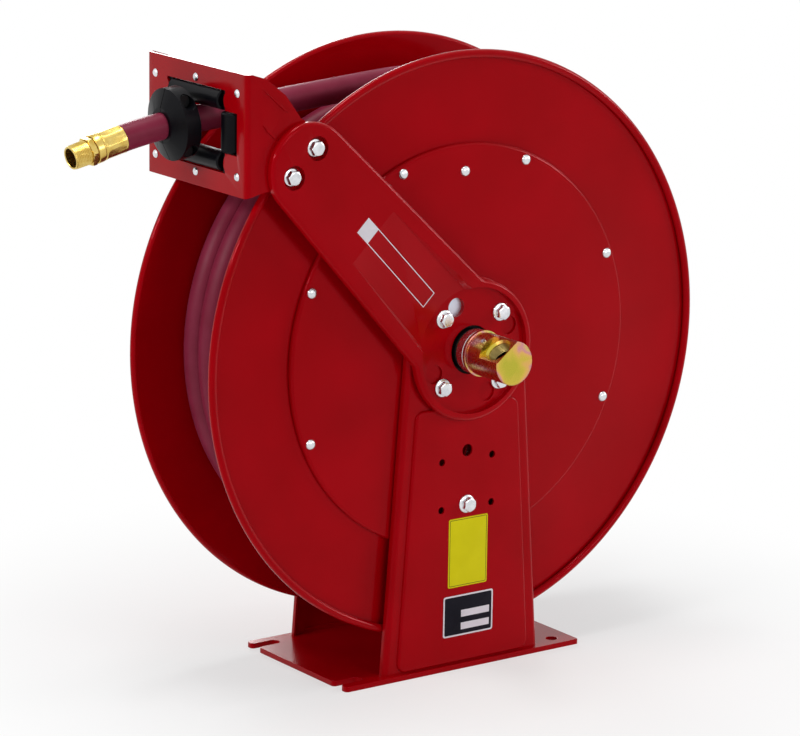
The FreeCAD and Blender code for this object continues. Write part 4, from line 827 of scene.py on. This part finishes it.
@dataclass
class BrassEnd:
    """The crimped ferrule and the male pipe end on the hose."""

    finishes: Finishes
    axis: Axis = Axis((-0.4020, 0.0, HUB_Z + 0.2474), (-0.97150, 0.0, -0.23705), (0.0, -1.0, 0.0))
    crimp: float = 0.01455
    hexagon: float = 0.0140
    thread_start: float = 0.0248
    thread_end: float = 0.0417
    crest: float = 0.0133
    taper: float = 0.025
    depth: float = 0.0009

    def ferrule(self) -> bpy.types.Object:
        """A sleeve with eight crimped flats and a round collar."""
        rows = np.array([
            (14.35, -19.0, 0), (14.75, -19.0, 0), (15.0, -18.6, 0), (15.0, -17.8, 0), (15.0, -16.6, 1),
            (15.0, -8.0, 1), (15.0, 3.4, 1), (15.0, 4.8, 0), (15.0, 6.4, 0), (14.7, 6.9, 0), (14.4, 7.3, 0),
            (14.4, 7.9, 0), (14.9, 8.4, 0), (15.4, 8.8, 0), (15.6, 9.4, 0), (15.6, 15.4, 0), (15.4, 16.1, 0),
            (14.8, 16.6, 0), (11.5, 16.6, 0), (11.5, 2.0, 0), (14.35, 0.2, 0)]) * (0.001, 0.001, 1.0)
        angle = around(192)
        points = self.axis.points(cut_round(rows, flats(8, self.crimp, angle)), angle, rows[:, 1:2])
        piece = surface("crimped_ferrule", points, self.finishes.brass, crease=18.0)
        return settle(piece, Body.FRAME, "brass", "hose_ferrule")

    def male_end(self) -> bpy.types.Object:
        """A hexagon and a tapered pipe thread."""
        angle = around(144)
        neck = np.array([
            (11.4, 6.0, 0), (11.4, 16.8, 0), (12.5, 16.8, 0), (12.5, 17.5, 0), (14.0, 17.5, 0),
            (15.2, 17.9, 1), (16.4, 18.6, 1), (16.4, 22.9, 1), (15.2, 23.6, 1), (14.0, 24.0, 0),
            (12.4, 24.0, 0), (12.4, 24.6, 0)]) * (0.001, 0.001, 1.0)
        reach = np.linspace(self.thread_start, self.thread_end, 112)[:, None]
        crest = self.crest - self.taper * (reach - self.thread_start)
        thread = crest - self.depth * thread_phase(reach, angle)
        tip = np.array([(12.3, 42.6), (11.9, 43.2), (10.7, 43.2), (10.3, 42.8), (10.3, 6.0)]) * 0.001
        radius = np.concatenate([cut_round(neck, flats(6, self.hexagon, angle)), thread,
                                 tip[:, 0:1] + 0.0 * angle])
        along = np.concatenate([neck[:, 1:2], reach, tip[:, 1:2]]) + 0.0 * angle
        piece = surface("threaded_male_end", self.axis.points(radius, angle, along), self.finishes.brass)
        return settle(piece, Body.FRAME, "brass", "hose_fitting")

    def build(self) -> list[bpy.types.Object]:
        """Make both pieces.

        Returns:
            The pieces on the hose's end.
        """
        return [self.ferrule(), self.male_end()]


@dataclass
class InletThread:
    """The pipe thread cut in the swivel's port."""

    finishes: Finishes
    turn: float = 128.0
    port: float = 0.160
    mouth: float = 0.0144
    root: float = 0.00355
    bore: float = 0.01258
    relief: float = 0.0001
    depth: float = 0.0010

    def build(self) -> None:
        """A ring whose inner radius falls and rises by a ridge each pitch."""
        turn = math.radians(self.turn)
        axis = Axis((0.0, -self.port, HUB_Z), (math.cos(turn), 0.0, math.sin(turn)), (0.0, 1.0, 0.0))
        angle = around(96)
        reach = np.linspace(self.root, self.mouth, 72)[:, None]
        inner = self.bore - self.relief - self.depth * thread_phase(reach, angle)
        radius = np.concatenate([inner, np.full((2, angle.size), self.bore)])
        along = np.concatenate([reach, [[self.mouth], [self.root]]]) + 0.0 * angle
        piece = surface("port_thread", axis.points(radius, angle, along), self.finishes.thread)
        settle(piece, Body.SWIVEL, "yellow_zinc")


# --- blank plates and the arm's outline

def card(width: float, height: float, corner: float, count: int = 5) -> np.ndarray:
    """A rectangle's outline about the origin with rounded corners.

    Args:
        width: size along x.
        height: size along y.
        corner: corner radius.
        count: spans in each corner.

    Returns:
        Points in order, as rows of x and y.
    """
    w, h = 0.5 * width, 0.5 * height
    return rounded_outline([(-w, -h, corner), (w, -h, corner), (w, h, corner), (-w, h, corner)], count)


class Ground(Enum):
    """The surfaces that carry stickers."""

    PANEL = "pedestal panel"
    ARM = "arm face"


@dataclass(frozen=True)
class Spot:
    """Where a sticker's middle lies on a surface.

    Attributes:
        ground: the surface.
        along: distance from the hub along X on the panel, or along the arm.
        across: height over the hub on the panel, or the place across the arm.
    """

    ground: Ground
    along: float
    across: float
    panel: float = 0.0950
    arm_face: float = 0.1050
    ramp_start: float = 0.1960
    slope: float = 0.0356
    gap: float = 0.0001

    def lay(self, outline: np.ndarray, height: float) -> np.ndarray:
        """Carry outline points to the surface.

        The panel is flat. The arm's face sinks evenly towards the hub inside its ramped recess.

        Args:
            outline: points about the sticker's middle.
            height: how far they stand off the surface.

        Returns:
            The points in the row frame.
        """
        x, y = outline[:, 0] + self.along, outline[:, 1] + self.across
        if self.ground is Ground.PANEL:
            return np.stack([x, np.full(len(x), -self.panel - height), y + HUB_Z], axis=1)
        turn = math.radians(ARM_TURN)
        sink = np.clip(self.gap + (self.ramp_start - x) * self.slope, 0.0, 0.01)
        return np.stack([x * math.cos(turn) - y * math.sin(turn), -self.arm_face + sink - height,
                         HUB_Z + x * math.sin(turn) + y * math.cos(turn)], axis=1)


@dataclass
class Labels:
    """Blank stickers: a yellow one, a black one with two pale fields, and an empty white outline on the arm."""

    finishes: Finishes
    yellow: Spot = Spot(Ground.PANEL, 0.0032, -0.2285)
    plate: Spot = Spot(Ground.PANEL, 0.0049, -0.3006)
    fields: tuple[Spot, ...] = (Spot(Ground.PANEL, 0.0146, -0.2990), Spot(Ground.PANEL, 0.0146, -0.3135))
    outline: Spot = Spot(Ground.ARM, 0.1514, -0.0008)
    block: Spot = Spot(Ground.ARM, 0.2065, -0.0008)

    def sticker(self, name: str, spot: Spot, outline: np.ndarray, thick: float,
                material: bpy.types.Material) -> None:
        """A thin closed plate: middle, inset outline and edge on top, then edge and middle below.

        Args:
            name: the piece's name.
            spot: where its middle lies.
            outline: its outline.
            thick: its thickness.
            material: its finish.
        """
        rows = [spot.lay(outline * share, height) for share, height in
                ((0.0, thick), (0.985, thick), (1.0, thick * 0.6), (1.0, 0.0), (0.0, 0.0))]
        settle(surface(name, np.stack(rows), material, (False, True)), Body.FRAME, "")

    def rim(self, name: str, spot: Spot, outer: np.ndarray, inner: np.ndarray, thick: float,
            material: bpy.types.Material) -> None:
        """A thin closed band between two outlines of equally many points.

        Args:
            name: the piece's name.
            spot: where its middle lies.
            outer: the outer outline.
            inner: the inner outline.
            thick: its thickness.
            material: its finish.
        """
        rows = [spot.lay(outline, height) for outline, height in
                ((outer, 0.0), (outer, thick), (inner, thick), (inner, 0.0))]
        settle(surface(name, np.stack(rows), material), Body.FRAME, "")

    def long_card(self, width: float, height: float) -> np.ndarray:
        """A sharp rectangle with points along its sides, so that it can follow a sloping face.

        Args:
            width: size along x.
            height: size along y.

        Returns:
            Points in order, as rows of x and y.
        """
        far, near = np.linspace(-0.5, 0.5, 24), np.linspace(-0.5, 0.5, 6)
        edges = [(far, -0.5 + 0.0 * far), (0.5 + 0.0 * near, near), (far[::-1], 0.5 + 0.0 * far),
                 (-0.5 + 0.0 * near, near[::-1])]
        return np.concatenate([np.stack(edge, axis=1) for edge in edges]) * (width, height)

    def build(self) -> None:
        """Place the stickers."""
        yellow, black, white = self.finishes.vinyl_yellow, self.finishes.vinyl_black, self.finishes.vinyl_white
        plate = card(0.0678, 0.0470, 0.0028)
        self.sticker("yellow_blank_label", self.yellow, card(0.0530, 0.0785, 0.0020), 0.00025, yellow)
        self.rim("yellow_label_line", self.yellow, card(0.0500, 0.0755, 0.0012), card(0.0490, 0.0745, 0.0010),
                 0.00032, black)
        self.sticker("blank_name_plate", self.plate, plate, 0.00035, black)
        self.rim("name_plate_line", self.plate, plate, card(0.0642, 0.0434, 0.0016), 0.00042, white)
        for index, spot in enumerate(self.fields):
            self.sticker(f"name_plate_field_{index + 1}", spot, card(0.0390, 0.0080, 0.0004), 0.00045, white)
        self.rim("arm_outline", self.outline, self.long_card(0.1293, 0.0205), self.long_card(0.1275, 0.0187),
                 0.00020, white)
        self.sticker("arm_outline_block", self.block, self.long_card(0.0191, 0.0205), 0.00024, white)


# --- hose

def on_hub(radius: float, degrees: float, y: float) -> tuple[float, float, float]:
    """A point on a circle round the hub.

    Args:
        radius: distance from the hub axis.
        degrees: angle from +X towards +Z.
        y: place along the axis.

    Returns:
        The point in the row frame.
    """
    angle = math.radians(degrees)
    return radius * math.cos(angle), y, HUB_Z + radius * math.sin(angle)


# Control points every STEP degrees lie this much further out than the arc that they draw.
STEP = 30.0
CORNER = 1.0 / math.cos(math.radians(0.5 * STEP))


@dataclass
class Hose:
    """The hose: nine wound turns on the drum and the outgoing length to the male end."""

    finishes: Finishes
    radius: float = HOSE_RADIUS
    first_layer: float = 0.2245
    start: float = -120.0
    turns: int = 9
    lag: float = 25.0
    shift: float = 0.14
    lead: tuple[tuple[float, float, float], ...] = (
        (0.1159, -0.0578, HUB_Z - 0.2287),
        on_hub(0.2560 * CORNER, -41.0, -0.0578),
        on_hub(0.2680 * CORNER, -11.0, -0.0576),
        on_hub(0.2815 * CORNER, 19.0, -0.0470),
        on_hub(0.2834 * CORNER, 49.0, -0.0160),
        on_hub(0.2834 * CORNER, 79.0, 0.0170),
        (-0.1500, 0.0085, HUB_Z + 0.2753),
        (-0.2835, 0.0000, HUB_Z + 0.2653),
        (-0.3520, 0.0000, HUB_Z + 0.2596),
        (-0.4020, 0.0000, HUB_Z + 0.2474),
    )

    def curve(self, name: str, points: Sequence[Sequence[float]]) -> bpy.types.Object:
        """A tube round a smooth line with the points as its control points.

        Args:
            name: the piece's name.
            points: control points in the row frame.

        Returns:
            The new curve object.
        """
        data = bpy.data.curves.new(name, "CURVE")
        data.dimensions = "3D"
        data.resolution_u = 10
        data.bevel_depth = self.radius
        data.bevel_resolution = 8
        data.use_fill_caps = True
        spline = data.splines.new("NURBS")
        spline.points.add(len(points) - 1)
        for point, place in zip(spline.points, points):
            point.co = (*place, 1.0)
        spline.order_u = 3
        spline.use_endpoint_u = True
        data.materials.append(self.finishes.hose)
        return put(name, data)

    def wound_points(self) -> list[tuple[float, float, float]]:
        """Control points of the wound turns: five across the drum, then four back over them.

        Each turn lies square to the axis and moves over to the next within the hidden lower stretch.

        Returns:
            Control points 30 degrees apart.
        """
        pitch = 2.0 * self.radius
        rows = [(self.first_layer, (turn - 2) * pitch) for turn in range(5)]
        rows += [(self.first_layer + pitch, (2 - turn) * pitch) for turn in range(5)]
        points = []
        for index in range(int((360.0 * self.turns + 60.0) / STEP) + 1):
            along = (STEP * index - self.lag) / 360.0
            turn = min(int(max(along, 0.0)), len(rows) - 1)
            share = max(along - turn, 0.0)
            here, there = rows[turn], rows[min(turn + 1, len(rows) - 1)]
            blend = min(max((share - 1.0 + self.shift) / self.shift, 0.0), 1.0)
            radius, y = (a + (b - a) * blend for a, b in zip(here, there))
            points.append(on_hub(radius * CORNER, self.start + STEP * index, y))
        return points

    def build(self, on_hose: Sequence[bpy.types.Object | str]) -> None:
        """Args:
            on_hose: the stop's halves and screws, the ferrule and the male end; not used.
        """
        wound = self.curve("wound_hose", self.wound_points()[:-1] + [self.lead[0]])
        settle(wound, Body.SPOOL, "hose_rubber", "hose_pack")
        outgoing = self.curve("outgoing_hose", self.lead)
        settle(outgoing, Body.FRAME, "hose_rubber", "hose_lead")
        first = self.wound_points()[0]
        log.info("hose: %d turns and an outgoing length", self.turns)


# --- studio

@dataclass(frozen=True)
class Studio:
    """Camera, lights, floor and the white surround."""

    camera_from_hub: tuple[float, float, float] = (-2.3959, -3.2748, 0.9392)
    yaw: float = 35.917
    pitch: float = 13.580
    roll: float = 0.880
    lens: float = 169.64

    def camera(self) -> None:
        """Place the camera."""
        yaw, pitch, roll = (math.radians(value) for value in (self.yaw, self.pitch, self.roll))
        ahead = Vector((math.cos(pitch) * math.sin(yaw), math.cos(pitch) * math.cos(yaw), -math.sin(pitch)))
        right = Vector((math.cos(yaw), -math.sin(yaw), 0.0))
        above = right.cross(ahead)
        turned_right = right * math.cos(roll) + above * math.sin(roll)
        turned_above = above * math.cos(roll) - right * math.sin(roll)
        data = bpy.data.cameras.new("camera")
        data.lens = self.lens
        data.sensor_width = 36.0
        data.sensor_fit = "HORIZONTAL"
        data.clip_end = 50.0
        camera = put("camera", data)
        place = Vector(self.camera_from_hub) + Vector((0.0, 0.0, HUB_Z))
        axes = Matrix((turned_right, turned_above, -ahead)).transposed().to_4x4()
        camera.matrix_world = Matrix.Translation(place) @ axes
        bpy.context.scene.camera = camera

    def light(self, name: str, place: Sequence[float], target: Sequence[float],
              size: tuple[float, float], power: float) -> None:
        """A soft rectangular light.

        Args:
            name: the light's name.
            place: its centre.
            target: the point it faces.
            size: its width and height.
            power: its strength in watts.
        """
        data = bpy.data.lights.new(name, "AREA")
        data.shape = "RECTANGLE"
        data.size, data.size_y = size
        data.energy = power
        lamp = put(name, data)
        lamp.location = place
        lamp.rotation_euler = (Vector(target) - Vector(place)).to_track_quat("-Z", "Y").to_euler()

    def white_for_view(self, graph: Graph) -> bpy.types.NodeSocket:
        """1 for rays from the camera, from a glossy surface or through glass, and 0 for rays that carry light.

        Args:
            graph: where the nodes go.

        Returns:
            The share.
        """
        share = graph.add("LightPath", "Is Camera Ray")
        for kind in ("Is Glossy Ray", "Is Transmission Ray"):
            share = graph.add("Math", operation="ADD", use_clamp=True, slot0=share,
                              slot1=graph.add("LightPath", kind))
        return share

    def surround(self) -> None:
        """A white surround for the view and reflections, and a dimmer one for light."""
        world = bpy.data.worlds.new("surround")
        bpy.context.scene.world = world
        graph = Graph(world)
        seen = graph.add("Background", Color=(1.0, 1.0, 1.0, 1.0), Strength=1.0)
        fill = graph.add("Background", Color=(1.0, 1.0, 1.0, 1.0), Strength=0.16)
        mix = graph.add("MixShader", Fac=self.white_for_view(graph), slot1=fill, slot2=seen)
        graph.add("OutputWorld", Surface=mix)

    def floor(self) -> None:
        """A plain pale floor that fades into the surround from 0.2 to 0.7 m from the middle."""
        mesh = bpy.data.meshes.new("floor")
        corners = [(-6.0, -6.0, 0.0), (6.0, -6.0, 0.0), (6.0, 6.0, 0.0), (-6.0, 6.0, 0.0)]
        mesh.from_pydata(corners, [], [(0, 1, 2, 3)])
        floor = put("floor", mesh)
        material, graph = new_graph("pale_floor")
        place = graph.add("TexCoord", "Object")
        cloud = graph.add("TexNoise", Vector=place, Scale=1.0 / 0.6, Detail=2.0)
        tone = graph.add("ValToRGB", Fac=cloud, stops=[(0.3, "#F6F6F6"), (0.7, "#FAFAFA")])
        matt = graph.add("BsdfPrincipled", Base_Color=tone, Roughness=0.9, Specular_IOR_Level=0.1)
        white = graph.add("Emission", Color=(1.0, 1.0, 1.0, 1.0), Strength=1.0)
        reach = graph.add("VectorMath", "Value", operation="LENGTH", Vector=place)
        far = graph.add("MapRange", Value=reach, From_Min=0.20, From_Max=0.70, To_Min=0.50,
                        interpolation_type="SMOOTHSTEP")
        share = graph.add("Math", operation="MULTIPLY", slot0=far, slot1=self.white_for_view(graph))
        graph.add("OutputMaterial", Surface=graph.add("MixShader", Fac=share, slot1=matt, slot2=white))
        mesh.materials.append(material)

    def build(self) -> None:
        """Set the whole studio up."""
        bpy.context.scene.view_settings.view_transform = "Standard"
        self.camera()
        self.surround()
        self.floor()
        for name, place, height, size, power in (
                ("key", (3.0, -1.6, 1.4), 0.3, (1.2, 1.0), 32.0),
                ("front", (0.3, -3.3, 1.5), 0.2, (1.4, 0.8), 22.0),
                ("side", (-2.8, -0.1, 1.8), 0.45, (1.7, 0.35), 34.0),
                ("top", (-0.2, 0.1, 2.9), 0.4, (1.2, 0.4), 26.0),
                ("back", (1.2, 3.3, 1.6), 0.3, (1.4, 1.0), 36.0)):
            self.light(name, place, (0.0, 0.0, height), size, power)
        log.info("camera, lights, floor and surround are set")


def main() -> None:
    """Build the scene in order."""
    finishes = Finishes()
    Studio().build()
    ends = BrassEnd(finishes).build()
    pressed = Pressings(finishes).build()
    Hose(finishes).build([pressed["inlet_stop_half"], pressed["spring_stop_half"], "stop_screws", *ends])
    SpoolSides(finishes).build()
    Fasteners(finishes).build()
    InletThread(finishes).build()
    Labels(finishes).build()
    dress_nodes(finishes)


if __name__ == "__main__":
    main()
